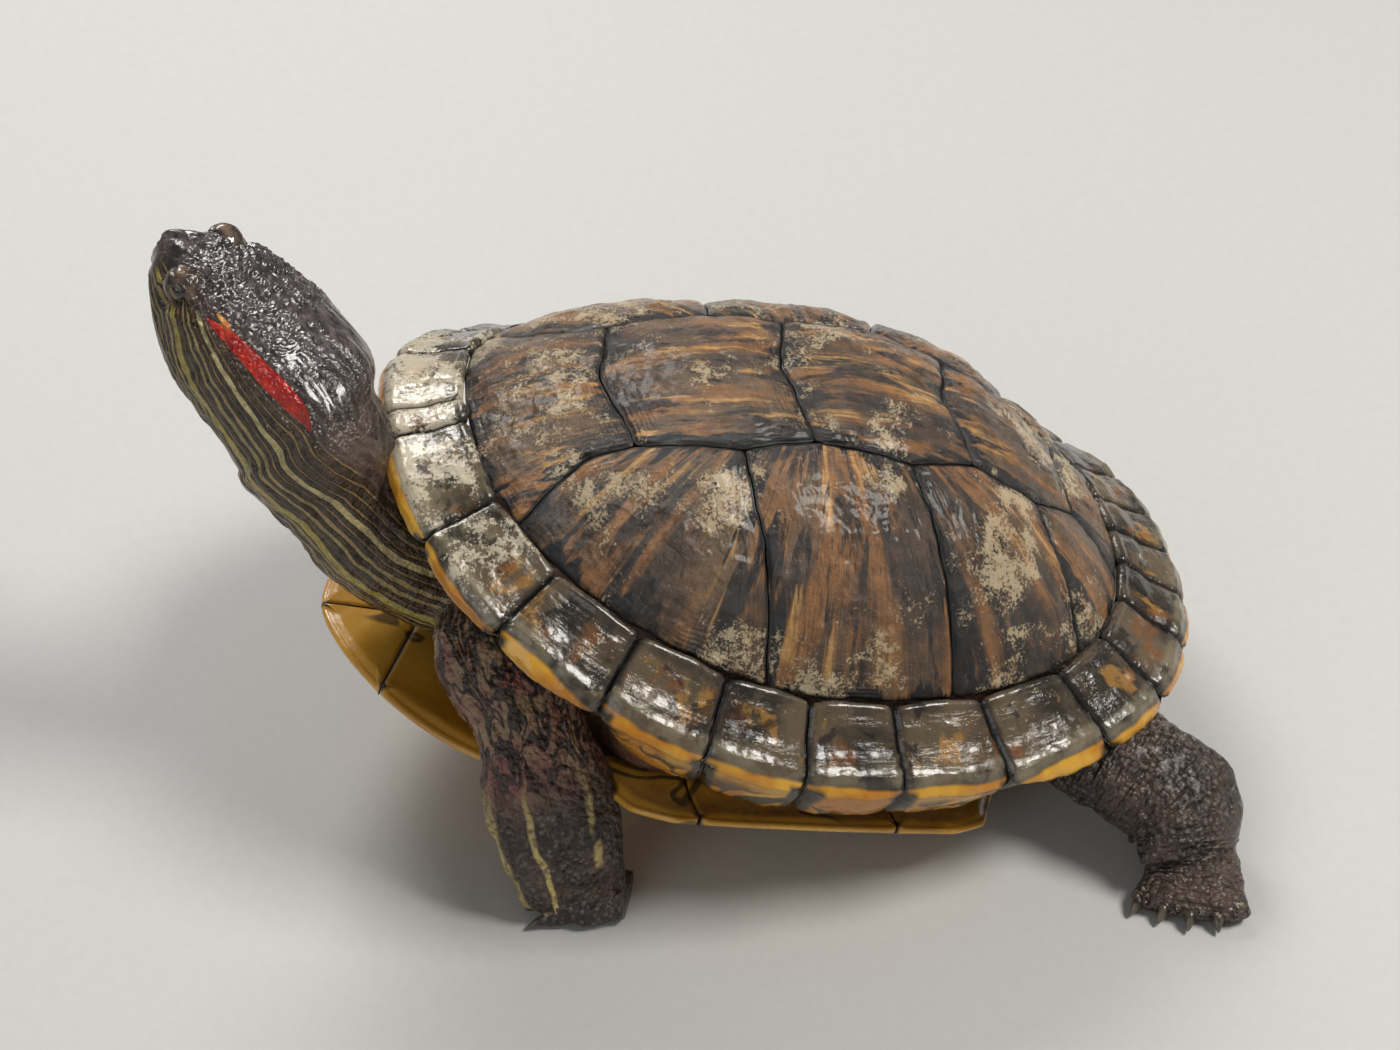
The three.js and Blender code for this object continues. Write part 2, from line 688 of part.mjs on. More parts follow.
const hindLeg = {
  stations: [
    { at: [40, 56, 31], wide: 14, thick: 12 },
    { at: [53, 72, 26], wide: 15, thick: 11 },
    { at: [64, 86, 22], wide: 16, thick: 12 },
    { at: [73, 95, 16], wide: 16.5, thick: 12 },
    { at: [80, 96, 8], wide: 15.5, thick: 8 },
  ],
  steps: 8,
  broad: [-0.7, 0.7, 0.2],
  cutAt: [66, 92, 24],
  cutAlong: [0.7, 0.6, -0.4],
  foot: {
    heel: [80, 98, 7],
    heading: THREE.MathUtils.degToRad(-20),
    palm: { length: 15, half: 13.5, height: 7 },
    spread: 0.5,
    toe: hindToe,
    claws: 4,
  },
};

// The same limb with its foot set down elsewhere and turned. The shift grows from root to foot.
function restepped(limb, [dx, dy], turn) {
  const last = limb.stations.length - 1;
  const stations = limb.stations.map(({ at, wide, thick }, i) => (
    { at: [at[0] + (dx * i) / last, at[1] + (dy * i) / last, at[2]], wide, thick }
  ));
  const [x, y, z] = limb.foot.heel;
  const heading = limb.foot.heading + THREE.MathUtils.degToRad(turn);
  return { ...limb, stations, foot: { ...limb.foot, heel: [x + dx, y + dy, z], heading } };
}

addLimb('foreleg_left', 'arm', foreleg, false);
addLimb('foreleg_right', 'arm', restepped(foreleg, [4, -8], 8), true);
addLimb('hindleg_left', 'thigh', hindLeg, false);
addLimb('hindleg_right', 'thigh', restepped(hindLeg, [-2, -22], -40), true);

// ---- tail ----------------------------------------------------------------------------------------

const tailStations = [
  { at: [0, 62, 22], wide: 12, thick: 10 },
  { at: [-2, 82, 15], wide: 9.5, thick: 8 },
  { at: [-9, 99, 7], wide: 6.4, thick: 6 },
  { at: [-22, 110, 3.4], wide: 4, thick: 3.8 },
  { at: [-37, 115, 1.4], wide: 1.6, thick: 1.6 },
];
const tailSolid = toSolid(sweep(tailStations, { sides: 12, steps: 8, broad: [1, 0, 0] }));
addMesh('tail', toGeometry(cutLevel(clearOfShell(tailSolid))), skinSurface);

export default turtle;
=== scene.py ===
import math
import bmesh
import bpy
import numpy as np
from mathutils import Matrix, Vector, kdtree


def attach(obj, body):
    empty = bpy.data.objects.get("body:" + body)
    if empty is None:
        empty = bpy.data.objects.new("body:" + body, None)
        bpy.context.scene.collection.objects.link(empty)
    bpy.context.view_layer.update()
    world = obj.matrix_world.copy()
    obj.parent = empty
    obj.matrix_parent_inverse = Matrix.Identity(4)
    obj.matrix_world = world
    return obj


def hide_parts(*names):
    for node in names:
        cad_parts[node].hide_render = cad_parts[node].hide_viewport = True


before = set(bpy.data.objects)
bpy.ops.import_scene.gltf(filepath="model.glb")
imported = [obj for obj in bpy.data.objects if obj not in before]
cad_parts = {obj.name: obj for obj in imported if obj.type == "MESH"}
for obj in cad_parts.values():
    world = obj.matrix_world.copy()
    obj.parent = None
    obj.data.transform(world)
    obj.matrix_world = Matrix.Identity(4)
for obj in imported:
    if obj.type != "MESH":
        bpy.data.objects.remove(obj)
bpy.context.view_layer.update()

# Shapes are worked out in millimetres. The turtle faces -Y and its left side is +X.
mm = 0.001
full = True

sides = {"left": 1, "right": -1}


def lerp(a, b, t):
    return a + (b - a) * t


def smooth(low, high, x):
    t = np.clip((x - low) / (high - low), 0, 1)
    return t * t * (3 - 2 * t)


def hump(distance, width):
    return np.exp(-(distance / width) ** 2)


def signedPower(x, power):
    return np.sign(x) * np.abs(x) ** power


def unit(vectors):
    return vectors / np.maximum(np.linalg.norm(vectors, axis=-1, keepdims=True), 1e-9)


def ripple(points, size, seed, waves=10):
    # random waves of about one size, from about -1 to 1
    draw = np.random.default_rng(seed)
    total = np.zeros(points.shape[:-1])
    for _ in range(waves):
        direction = unit(draw.normal(size=points.shape[-1])) * draw.uniform(0.7, 1.4) * 2 * math.pi / size
        total += np.cos(points @ direction + draw.uniform(0, 2 * math.pi))
    return total * math.sqrt(1.2 / waves)


def runAlong(path):
    # the distance along a path at each of its points
    return np.concatenate([[0], np.cumsum(np.linalg.norm(np.diff(path, axis=0), axis=1))])


def columnsAt(want, run, rows):
    return np.stack([np.interp(want, run, rows[:, k]) for k in range(rows.shape[1])], 1)


def curveThrough(stations, count, closed=False):
    # a smooth curve through rows of values, evened out by distance over the first three columns
    rows = np.array(stations, float)
    if closed:
        rows = np.vstack([rows[-1], rows, rows[0], rows[1]])
    else:
        rows = np.vstack([2 * rows[0] - rows[1], rows, 2 * rows[-1] - rows[-2]])
    t = np.linspace(0, len(rows) - 3, 40 * (len(rows) - 3) + 1)
    i = np.minimum(t.astype(int), len(rows) - 4)
    f = (t - i)[:, None]
    a, b, c, d = rows[i], rows[i + 1], rows[i + 2], rows[i + 3]
    path = 0.5 * (2 * b + (c - a) * f + (2 * a - 5 * b + 4 * c - d) * f ** 2
                  + (3 * b - a - 3 * c + d) * f ** 3)
    run = runAlong(path[:, :3])
    want = np.linspace(0, 1, count) * run[-1]
    return columnsAt(want, run, path), want


def evenedRing(corners, count, scale=(1, 1)):
    # places at even distances along the closed line through the corners
    rows = np.array(list(corners) + [corners[0]])
    run = runAlong(rows * scale)
    return columnsAt(np.linspace(0, run[-1], count, endpoint=False), run, rows)


def softened(ring, rounds):
    for _ in range(rounds):
        ring = (np.roll(ring, 1, 0) + 2 * ring + np.roll(ring, -1, 0)) / 4
    return ring


def newMesh(name, work):
    mesh = bpy.data.meshes.new(name)
    work.to_mesh(mesh)
    work.free()
    return mesh


def coordinates(mesh):
    flat = np.empty(len(mesh.vertices) * 3)
    mesh.vertices.foreach_get("co", flat)
    return flat.reshape(-1, 3)


def wrapGrid(name, columns, rows, place, layers=()):
    # a flat grid, wrapped round a body by place(u, v), which gives rows x columns of points
    work = bmesh.new()
    bmesh.ops.create_grid(work, x_segments=columns, y_segments=rows, size=0.5)
    mesh = newMesh(name, work)
    flat = coordinates(mesh)
    column = np.rint((flat[:, 0] + 0.5) * columns).astype(int)
    row = np.rint((flat[:, 1] + 0.5) * rows).astype(int)
    points, values = place(np.linspace(0, 1, columns + 1), np.linspace(0, 1, rows + 1))
    mesh.vertices.foreach_set("co", (points[row, column] * mm).ravel())
    for layer in layers:
        addLayer(mesh, layer, values[layer][row, column])
    closeUp(mesh)
    return bpy.data.objects.new(name, mesh)


def addLayer(mesh, name, values):
    kind = "FLOAT_VECTOR" if values.ndim == 2 else "FLOAT"
    layer = mesh.attributes.get(name) or mesh.attributes.new(name, kind, "POINT")
    layer.data.foreach_set("vector" if values.ndim == 2 else "value", values.astype(np.float32).ravel())


def closeUp(mesh):
    # merges the grid's seam and ends into one closed surface that faces outwards
    work = bmesh.new()
    work.from_mesh(mesh)
    bmesh.ops.remove_doubles(work, verts=work.verts, dist=0.002 * mm)
    bmesh.ops.dissolve_degenerate(work, edges=work.edges, dist=0.001 * mm)
    bmesh.ops.recalc_face_normals(work, faces=work.faces)
    work.to_mesh(mesh)
    work.free()
    mesh.shade_smooth()


def facing(points):
    # the direction square to a grid of points, the same at both sides of its seam
    across = np.empty_like(points)
    across[:, 1:-1] = points[:, 2:] - points[:, :-2]
    across[:, 0] = across[:, -1] = points[:, 1] - points[:, -2]
    along = np.gradient(points, axis=0)
    return unit(np.cross(across, along))


def facingAway(points, middle):
    # the same, turned so that it points away from the middle
    outward = facing(points)
    return outward * np.sign(np.sum(outward * (points - middle), -1).mean())


def padded(values, extra=1):
    # the first and last rows again, for the closed ends of a grid
    return np.concatenate([values[:1]] * extra + [values] + [values[-1:]] * extra)


def treeOf(points, places):
    tree = kdtree.KDTree(len(places))
    for i in places:
        tree.insert(points[i], int(i))
    tree.balance()
    return tree


def finishPiece(piece, material, nodes):
    bpy.context.scene.collection.objects.link(piece)
    piece.data.materials.clear()
    piece.data.materials.append(material)
    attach(piece, "root")
    if nodes:
        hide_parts(*nodes)
    return piece


# A field is a number, place or colour that shader nodes work out. Each sum or method adds the node for it.


def feed(socket, value):
    if isinstance(value, Field):
        socket.id_data.links.new(value.socket, socket)
    else:
        socket.default_value = (*value, 1) if socket.type == "RGBA" else value


def node(tree, kind, inputs, output=0, **settings):
    made = tree.nodes.new("ShaderNode" + kind)
    for key, value in settings.items():
        setattr(made, key, value)
    for key, value in inputs.items():
        feed(made.inputs[key], value)
    return Field(made.outputs[output])


class Field:
    def __init__(self, socket):
        self.socket, self.tree = socket, socket.id_data

    def math(self, operation, other=0.0):
        return node(self.tree, "Math", {0: self, 1: other}, operation=operation)

    def __add__(self, other):
        return self.math("ADD", other)

    def __sub__(self, other):
        return self.math("SUBTRACT", other)

    def __rsub__(self, other):
        return node(self.tree, "Math", {0: other, 1: self}, operation="SUBTRACT")

    def __mul__(self, other):
        return self.math("MULTIPLY", other)

    def __or__(self, other):  # the greater of two shares
        return self.math("MAXIMUM", other)

    def __abs__(self):
        return self.math("ABSOLUTE")

    def ranged(self, low, high, newLow=0.0, newHigh=1.0):
        ends = {"Value": self, "From Min": low, "From Max": high, "To Min": newLow, "To Max": newHigh}
        return node(self.tree, "MapRange", ends, interpolation_type="SMOOTHSTEP")

    def near(self, centre, half, soft):  # a stripe about one value
        return (abs(self - centre) - half).ranged(0.0, soft, 1.0, 0.0)

    def noise(self, scale, detail=3.0, roughness=0.55, distortion=0.0):
        settings = {"Vector": self, "Scale": scale, "Detail": detail, "Roughness": roughness,
                    "Distortion": distortion}
        return node(self.tree, "TexNoise", settings, "Fac")

    def swaying(self, scale, size, detail=2):  # noise about zero
        return (self.noise(scale, detail) - 0.5) * size

    def cells(self, scale):
        return node(self.tree, "TexVoronoi", {"Vector": self, "Scale": scale}, "Distance", feature="F1")

    def stretched(self, *scale):
        return node(self.tree, "Mapping", {"Vector": self, "Scale": scale})

    def parts(self):
        split = node(self.tree, "SeparateXYZ", {0: self}).socket.node
        return [Field(output) for output in split.outputs]

    def between(self, first, second):
        return node(self.tree, "Mix", {"Factor": self, 6: first, 7: second}, 2, data_type="RGBA")

    def painted(self, share, colour):
        return node(self.tree, "Mix", {"Factor": share, 6: self, 7: colour}, 2, data_type="RGBA")


def newGroup(name, numbers, outcome):
    # a place and some numbers go in, and one number comes out
    tree = bpy.data.node_groups.new(name, "ShaderNodeTree")
    tree.interface.new_socket("Vector", in_out="INPUT", socket_type="NodeSocketVector")
    for label, value in numbers.items():
        tree.interface.new_socket(label, in_out="INPUT", socket_type="NodeSocketFloat").default_value = value
    tree.interface.new_socket(outcome, in_out="OUTPUT", socket_type="NodeSocketFloat")
    given = {socket.name: Field(socket) for socket in tree.nodes.new("NodeGroupInput").outputs if socket.name}
    return tree, given, tree.nodes.new("NodeGroupOutput").inputs[0]


# wet film: where water lies the surface is smoother
filmGroup, given, result = newGroup("wetFilm", {"Dry": 0.45, "Wet": 0.12, "Spread": 0.0}, "Roughness")
pools, specks = given["Vector"].noise(55, 4, 0.6), given["Vector"].noise(700, 2, 0.6)
wetness = (pools + given["Spread"] + specks * 0.25).ranged(0.5, 0.78)
film = {"Factor": wetness, "A": given["Dry"], "B": given["Wet"]}
feed(result, node(filmGroup, "Mix", film, data_type="FLOAT"))

# speckle: pale grains of dried silt and worn horn, inside a mask
speckleGroup, given, result = newGroup("paleSpeckle", {"Mask": 0.0, "Grain": 900.0}, "Share")
coarse, fine = given["Vector"].noise(160, 4, 0.7), given["Vector"].noise(given["Grain"], 3, 0.75)
feed(result, (coarse * 0.55 + fine * 0.45 + given["Mask"] * 0.17).ranged(0.62, 0.69))


class Surface:
    # a material, with fields read from the mesh's layers, and a finish given to its shader
    def __init__(self, name, **constants):
        self.material = bpy.data.materials.new(name)
        self.material.use_nodes = True
        self.tree = self.material.node_tree
        self.shader = self.tree.nodes["Principled BSDF"]
        for key, value in constants.items():
            self.shader.inputs[key].default_value = value
        self.where = node(self.tree, "TexCoord", {}, "Object")

    def layer(self, name, output="Fac"):
        return node(self.tree, "Attribute", {}, output, attribute_name=name)

    def speckle(self, mask, grain):
        return node(self.tree, "Group", {"Vector": self.where, "Mask": mask, "Grain": grain},
                    node_tree=speckleGroup)

    def wetted(self, dry, wet, spread):
        film = {"Vector": self.where, "Dry": dry, "Wet": wet, "Spread": spread}
        feed(self.shader.inputs["Roughness"], node(self.tree, "Group", film, node_tree=filmGroup))

    def bumped(self, height, strength, distance):
        bump = node(self.tree, "Bump", {"Height": height, "Strength": strength, "Distance": distance})
        feed(self.shader.inputs["Normal"], bump)

    def coloured(self, colour):
        feed(self.shader.inputs["Base Color"], colour)
        return self.material

# the carapace is one smooth surface over a plan: 1 ahead and 1 to the left reach its rim
shell = {
    "halfLength": 110, "halfWidth": 84.7, "domeHeight": 66.4, "plastronDepth": 28,
    "outlinePower": 2.36, "rearBroadening": 0.01, "crownShift": 4, "frontRise": 36.5,
    "frontRisePower": 1.56, "rearRise": 12.5, "seamRadius": 0.811, "sideStep": 16,
    "frontStep": 7.5, "rearStep": 8.8, "crownRound": 0.056, "flankRound": 0.315,
    "noseUp": math.radians(12), "restingEnd": 94.6, "standAt": (-3.2, 18.2)}
lean = (math.cos(shell["noseUp"]), math.sin(shell["noseUp"]))
rimLift = shell["restingEnd"] * lean[1] + shell["plastronDepth"] * lean[0]
shellAxes = np.array([[0, -lean[0], lean[1]], [1, 0, 0], [0, lean[1], lean[0]]])
standing = np.array([*shell["standAt"], 0.0])
planSize = [shell["halfLength"], shell["halfWidth"]]


def onShell(points):
    # from the shell's own axes, forward, left and up, to the frame's
    return points @ shellAxes + standing + np.array([0, 0, rimLift])


def reach(px, py):
    # 0 in the middle of the plan and 1 at the rim
    power = shell["outlinePower"]
    return (np.abs(px) ** power + np.abs(py) ** power) ** (1 / power)


def planAt(angle, share):
    size = share / reach(np.cos(angle), np.sin(angle))
    return np.stack(np.broadcast_arrays(np.cos(angle) * size, np.sin(angle) * size), -1)


def carapacePoint(plan):
    px, py = plan[..., 0], plan[..., 1]
    share = reach(px, py)
    angle = np.arctan2(py, px)
    front = np.maximum(np.cos(angle), 0)
    rear = np.maximum(-np.cos(angle), 0)
    side = np.sin(angle) ** 2
    rim = shell["frontRise"] * front ** shell["frontRisePower"] + shell["rearRise"] * rear ** 2
    seam = rim + shell["sideStep"] * side + shell["frontStep"] * front ** 2 + shell["rearStep"] * rear ** 2
    rounding = shell["crownRound"] + shell["flankRound"] * side
    u = share / shell["seamRadius"]
    dome = seam + (shell["domeHeight"] - seam) * (1 - (1 - rounding) * u ** 2 - rounding * u ** 6)
    slope = lerp(seam, rim, (share - shell["seamRadius"]) / (1 - shell["seamRadius"]))
    return np.stack([
        shell["halfLength"] * px + shell["crownShift"] * (1 - share ** 2),
        shell["halfWidth"] * py * (1 - shell["rearBroadening"] * px),
        np.where(u <= 1, dome, slope)], -1)


def outOfShell(plan):
    away = 0.01
    ahead = carapacePoint(plan + [away, 0]) - carapacePoint(plan - [away, 0])
    aside = carapacePoint(plan + [0, away]) - carapacePoint(plan - [0, away])
    return unit(np.cross(ahead, aside))


# corners of the scutes on the plan
backbone = [(0.795, 0.075, 0), (0.461, 0.285, 0.05), (0.045, 0.29, 0.05), (-0.355, 0.25, 0.04),
            (-0.66, 0.16, 0.02)]  # front end, half width there, bow of the seam
flankCorners = [(0.215, 0.325), (-0.185, 0.32), (-0.525, 0.255)]
shoulder = (0.56, 0.295)
seamAngles = np.radians([31, 79, 110.5, 138, 163])
scute = {"around": 260 if full else 130, "topRows": 84 if full else 40, "gap": 0.22, "roll": 0.95,
         "rollWidth": 0.75, "bulge": 0.7, "rings": (2.0, 3.6, 5.4, 7.6, 10.5), "ringStep": 0.06,
         "wander": 0.0042, "soften": 3, "depth": 3, "ridge": 0.7, "ridgeWidth": 5, "streakReach": 95,
         "streakTurn": 66}
# old horn: how deep its growth steps, flakes and uneven places are, and how wide
oldHorn = {"ringEdge": 0.22, "flake": 0.13, "flakeEdge": 0.06, "flakeSizes": (24, 8), "flakeLimit": 0.35,
           "uneven": ((0.22, 16, 41), (0.09, 5, 43), (0.045, 2.1, 47))}  # depth, size and seed
# where the dome is worn pale: place on the plan and size
wornSpots = [(0.66, 0.16, 0.13), (0.62, -0.16, 0.16), (0.5, 0.42, 0.09), (0.3, 0.46, 0.1),
             (-0.42, 0.48, 0.07), (-0.5, 0.3, 0.06), (-0.1, 0.42, 0.07), (0.25, 0.05, 0.07),
             (0.1, -0.45, 0.13), (-0.4, -0.4, 0.12), (-0.62, 0.0, 0.12), (0.48, -0.42, 0.1)]


def arcPlaces(start, end, count):
    return [tuple(planAt(lerp(start, end, i / count), shell["seamRadius"])) for i in range(count + 1)]


def mirrored(places):
    return [(px, -py) for px, py in reversed(places)]


def vertebralOutline(index):
    front, half, bow = backbone[index]
    left = []
    if index == 0:
        left += arcPlaces(0.07, seamAngles[0], 3) + [shoulder, backbone[1][:2]]
    else:
        left.append((front, half))
    if 0 < index < 4:
        left += [flankCorners[index - 1], backbone[index + 1][:2]]
    if index == 4:
        left += [tuple(planAt(seamAngles[4], shell["seamRadius"])),
                 tuple(planAt(math.pi * 0.965, shell["seamRadius"]))]
    middleFront = [(front + bow, 0)] if index else []
    middleRear = [(backbone[index + 1][0] + backbone[index + 1][2], 0)] if index < 4 else []
    return middleFront + left + middleRear + mirrored(left)


def costalOutline(index):
    tops = [[shoulder, backbone[1][:2], flankCorners[0]],
            [flankCorners[0], backbone[2][:2], flankCorners[1]],
            [flankCorners[1], backbone[3][:2], flankCorners[2]],
            [flankCorners[2], backbone[4][:2]]]
    return arcPlaces(seamAngles[index], seamAngles[index + 1], 6) + tops[index][::-1]


def evenOutline(corners, count):
    # corners joined by straight runs, evened out, wandering a little, with soft corners
    places = evenedRing(corners, count, planSize)
    inside = 1 - smooth(0.78, 0.81, reach(places[:, 0], places[:, 1]))
    spots = np.concatenate([places, np.zeros((count, 1))], 1)
    for axis in range(2):
        shift = ripple(spots, 0.16, 5 + axis) * 0.6 + ripple(spots, 0.05, 9 + axis) * 0.4
        places[:, axis] += scute["wander"] * shift * inside
    return softened(places, scute["soften"])


def nearestEdge(points, edge):
    # distance from each point to the closed line of edge points
    best = np.full(len(points), 1e9)
    following = np.roll(edge, -1, 0)
    for a, b in zip(edge, following):
        side = b - a
        t = np.clip(((points - a) @ side) / max(side @ side, 1e-9), 0, 1)
        best = np.minimum(best, np.linalg.norm(points - (a + t[:, None] * side), axis=1))
    return best


def hornRelief(points, edgeGap, seed):
    # growth steps beside the edge, old flakes of horn and uneven wear, in millimetres
    wavy = edgeGap + 0.5 * ripple(points, 9, 31)
    steps = sum(np.tanh((wavy - ring) / oldHorn["ringEdge"]) for ring in scute["rings"])
    broad, small = oldHorn["flakeSizes"]
    flakes = ripple(points, broad, seed) + 0.5 * ripple(points, small, seed + 1)
    flakes = oldHorn["flake"] * np.tanh((flakes - oldHorn["flakeLimit"]) / oldHorn["flakeEdge"])
    uneven = sum(depth * ripple(points, size, wave) for depth, size, wave in oldHorn["uneven"])
    return scute["ringStep"] * steps + flakes * smooth(1.5, 4, edgeGap) + uneven


def domeScute(name, corners, middleLine, seed):
    # rings run from the middle out over the face, down the edge, and back to the middle underneath
    edge = evenOutline(corners, scute["around"])
    middle = edge.mean(0)
    topShares = 1 - (1 - np.linspace(0, 1, scute["topRows"])) ** 1.35
    shares = np.concatenate([topShares, [1, 1, 1, 0.7, 0.35, 0]])
    deep = scute["depth"]
    depths = np.concatenate([np.zeros(len(topShares)), [1.3, 2.1, deep, deep, deep, deep]])

    def place(u, v):
        size = np.linalg.norm((edge - middle) * planSize, axis=1)
        inner = middle + (edge - middle) * (1 - scute["gap"] / size)[:, None]
        ring = np.vstack([inner, inner[:1]])
        plan = middle + (ring[None] - middle) * shares[:, None, None]
        surface = carapacePoint(plan)
        edgeGap = nearestEdge(surface.reshape(-1, 3), surface[len(topShares) - 1, :-1])
        edgeGap = edgeGap.reshape(surface.shape[:2])
        top = (np.arange(len(shares)) < len(topShares))[:, None]
        lift = scute["bulge"] * (1 - shares[:, None] ** 3) - scute["roll"] * hump(edgeGap, scute["rollWidth"])
        lift = lift + hornRelief(surface, edgeGap, seed) * smooth(0, 1.2, edgeGap)
        if middleLine:
            ridge = scute["ridge"] * hump(surface[..., 1], scute["ridgeWidth"])
            lift = lift + ridge * smooth(0.4, 1.0, 1 - shares)[:, None]
        lift = np.where(top, lift, -depths[:, None])
        points = surface + outOfShell(plan) * lift[..., None]
        angle = np.arctan2(plan[..., 1], plan[..., 0])
        if middleLine:
            ahead, aside = surface[..., 0], surface[..., 1]
        else:  # streaks run down the flank
            ahead = reach(plan[..., 0], plan[..., 1]) * scute["streakReach"]
            aside = np.unwrap(np.abs(angle)) * scute["streakTurn"]
        grain = np.stack([ahead, aside, np.full(angle.shape, seed * 7.3)], -1)
        worn = sum(hump(np.linalg.norm(plan - [x, y], axis=-1), size) for x, y, size in wornSpots)
        return onShell(points), {"grain": grain, "seam": edgeGap, "worn": np.clip(worn, 0, 1)}

    return wrapGrid(name, scute["around"], len(shares) - 1, place, ("grain", "seam", "worn"))


# the rim: where the seams between the marginal scutes lie
marginalAngles = np.radians([3.6, 24.7, 41.9, 57.9, 72.5, 86.2, 99.8, 114.7, 131.2, 144.9, 157.5, 169, 180])
rim = {"bridgeFront": math.radians(56), "bridgeRear": math.radians(119), "bridgeBlend": 0.16,
       "across": 150 if full else 80, "perDegree": 3.6 if full else 1.8, "gap": 0.2, "roll": 0.75,
       "rollWidth": 0.7, "innerLip": 0.9, "keel": 0.6, "keelAt": 0.76, "channel": 0.6,
       "channelAt": 0.42, "drop": 0.7, "notch": 0.9, "wornTo": math.radians(24)}


def onBridge(angle):
    far = np.abs(angle)
    front = smooth(rim["bridgeFront"] - rim["bridgeBlend"], rim["bridgeFront"] + rim["bridgeBlend"], far)
    rear = smooth(rim["bridgeRear"] - rim["bridgeBlend"], rim["bridgeRear"] + rim["bridgeBlend"], far)
    return front * (1 - rear)


def rimSection(angle):
    # seam, outer face, lip, underside and inner wall at each angle
    def at(share, lift):
        return carapacePoint(planAt(angle, share)) + np.stack([0 * angle, 0 * angle, lift + 0 * angle], -1)
    bridge = onBridge(angle)
    inner = shell["seamRadius"] + 0.004
    lip = at(1, 0)
    under = at(lerp(0.86, 0.9, bridge), 0)
    under[..., 2] = lip[..., 2] - lerp(1.2, 12.5, bridge)
    below = lip * [0.988, 0.988, 1] - [0, 0, 2.6]
    return np.stack([at(inner, 0), at(lerp(inner, 1, 0.4), 1.1), at(lerp(inner, 1, 0.78), 0.8),
                     lip, below, under, at(inner, -lerp(5, 10, bridge))], 1)


def marginalScute(name, start, end, seed):
    # each row goes round the rim's section, from the dome's seam over the lip and back inside
    spanMm = abs(end - start) * shell["halfWidth"] * 1.15
    alongRows = max(10, int(math.degrees(abs(end - start)) * rim["perDegree"]))
    t = np.linspace(0, 1, alongRows)
    # rows lie closer at the seams
    t = 0.5 - 0.5 * np.cos(np.pi * t) * (0.35 + 0.65 * np.abs(np.cos(np.pi * t)) ** 0.3)
    t[0], t[-1] = 0, 1
    gapShare = rim["gap"] / spanMm
    angles = lerp(start, end, gapShare + t * (1 - 2 * gapShare))

    def place(u, v):
        corners = rimSection(angles)
        sections = np.array([curveThrough(section, rim["across"] + 1, closed=True)[0] for section in corners])
        step = np.linalg.norm(np.diff(sections, axis=1), axis=2)
        arc = np.concatenate([np.zeros((len(angles), 1)), np.cumsum(step, 1)], 1)
        width = arc[:, -1:]
        middle = sections[:, :-1].mean(1, keepdims=True)
        seamGap = np.minimum(t, 1 - t)[:, None] * spanMm + 0 * arc
        lipAt = arc[:, np.argmax(np.linalg.norm(sections[..., :2], axis=-1).mean(0))][:, None]
        bow = (1 - (2 * t - 1) ** 2)[:, None]
        relief = rim["innerLip"] * hump(arc - 1.2 + 0.7 * bow, 1.2) * (0.45 + 0.85 * bow)
        keelAt = lipAt * rim["keelAt"]
        relief = relief + rim["keel"] * hump(arc - keelAt, 1.7)
        relief = relief - rim["channel"] * hump(arc - lipAt * rim["channelAt"], 3.0)
        relief = relief - rim["drop"] * smooth(keelAt, lipAt, arc) * smooth(lipAt * 1.25, lipAt, arc)
        onTop = smooth(width * 0.72, width * 0.62, arc)
        relief = relief + hornRelief(sections, np.minimum(seamGap, arc + 1), seed) * 0.75 * onTop
        swell = 0.45 * (1 - (2 * t - 1) ** 4)[:, None]
        relief = relief + swell * onTop - rim["roll"] * hump(seamGap, rim["rollWidth"])
        relief = relief - rim["notch"] * hump(seamGap, 1.7) * hump(arc - lipAt, 3)
        relief = lerp(relief, relief[:, :1], smooth(width - 2, width, arc))
        points = sections + facingAway(sections, middle) * relief[..., None]
        points[:, -1] = points[:, 0]
        ends = [middle[0] + 0 * points[0], lerp(middle[0], points[0], 0.6)]
        rest = [lerp(middle[-1], points[-1], 0.6), middle[-1] + 0 * points[-1]]
        rows = np.concatenate([np.array(ends), points, np.array(rest)])
        run = np.abs(angles)[:, None] * 88 + 0 * arc
        grain = np.stack([run, arc, np.full(arc.shape, seed * 5.1)], -1)
        worn = 1 - smooth(rim["wornTo"], rim["wornTo"] + 0.45, np.abs(angles))[:, None] + 0 * arc
        rimPlace = arc / lipAt * smooth(width - 2.5, width - 4, arc)
        layers = {"grain": grain, "seam": seamGap, "rimPlace": rimPlace, "worn": worn}
        return onShell(rows), {name: padded(values, 2) for name, values in layers.items()}

    return wrapGrid(name, rim["across"], alongRows + 3, place, ("grain", "seam", "rimPlace", "worn"))


plastron = {"frontX": 116, "rearX": -98, "axillaX": 50, "inguinalX": -56, "frontHalf": 56, "waistHalf": 57,
            "rearHalf": 47, "bridgeHalf": 76, "bridgeFrontX": 40, "bridgeRearX": -46, "thickness": 4.5,
            "gularSlant": 0.45, "sink": 0.5, "around": 240 if full else 120, "faceRows": 46 if full else 24}
plastronPlates = {"gular": (140, 90), "humeral": (90, 57), "pectoral": (57, 28), "abdominal": (28, -24),
                  "femoral": (-24, -64), "anal": (-64, -120)}


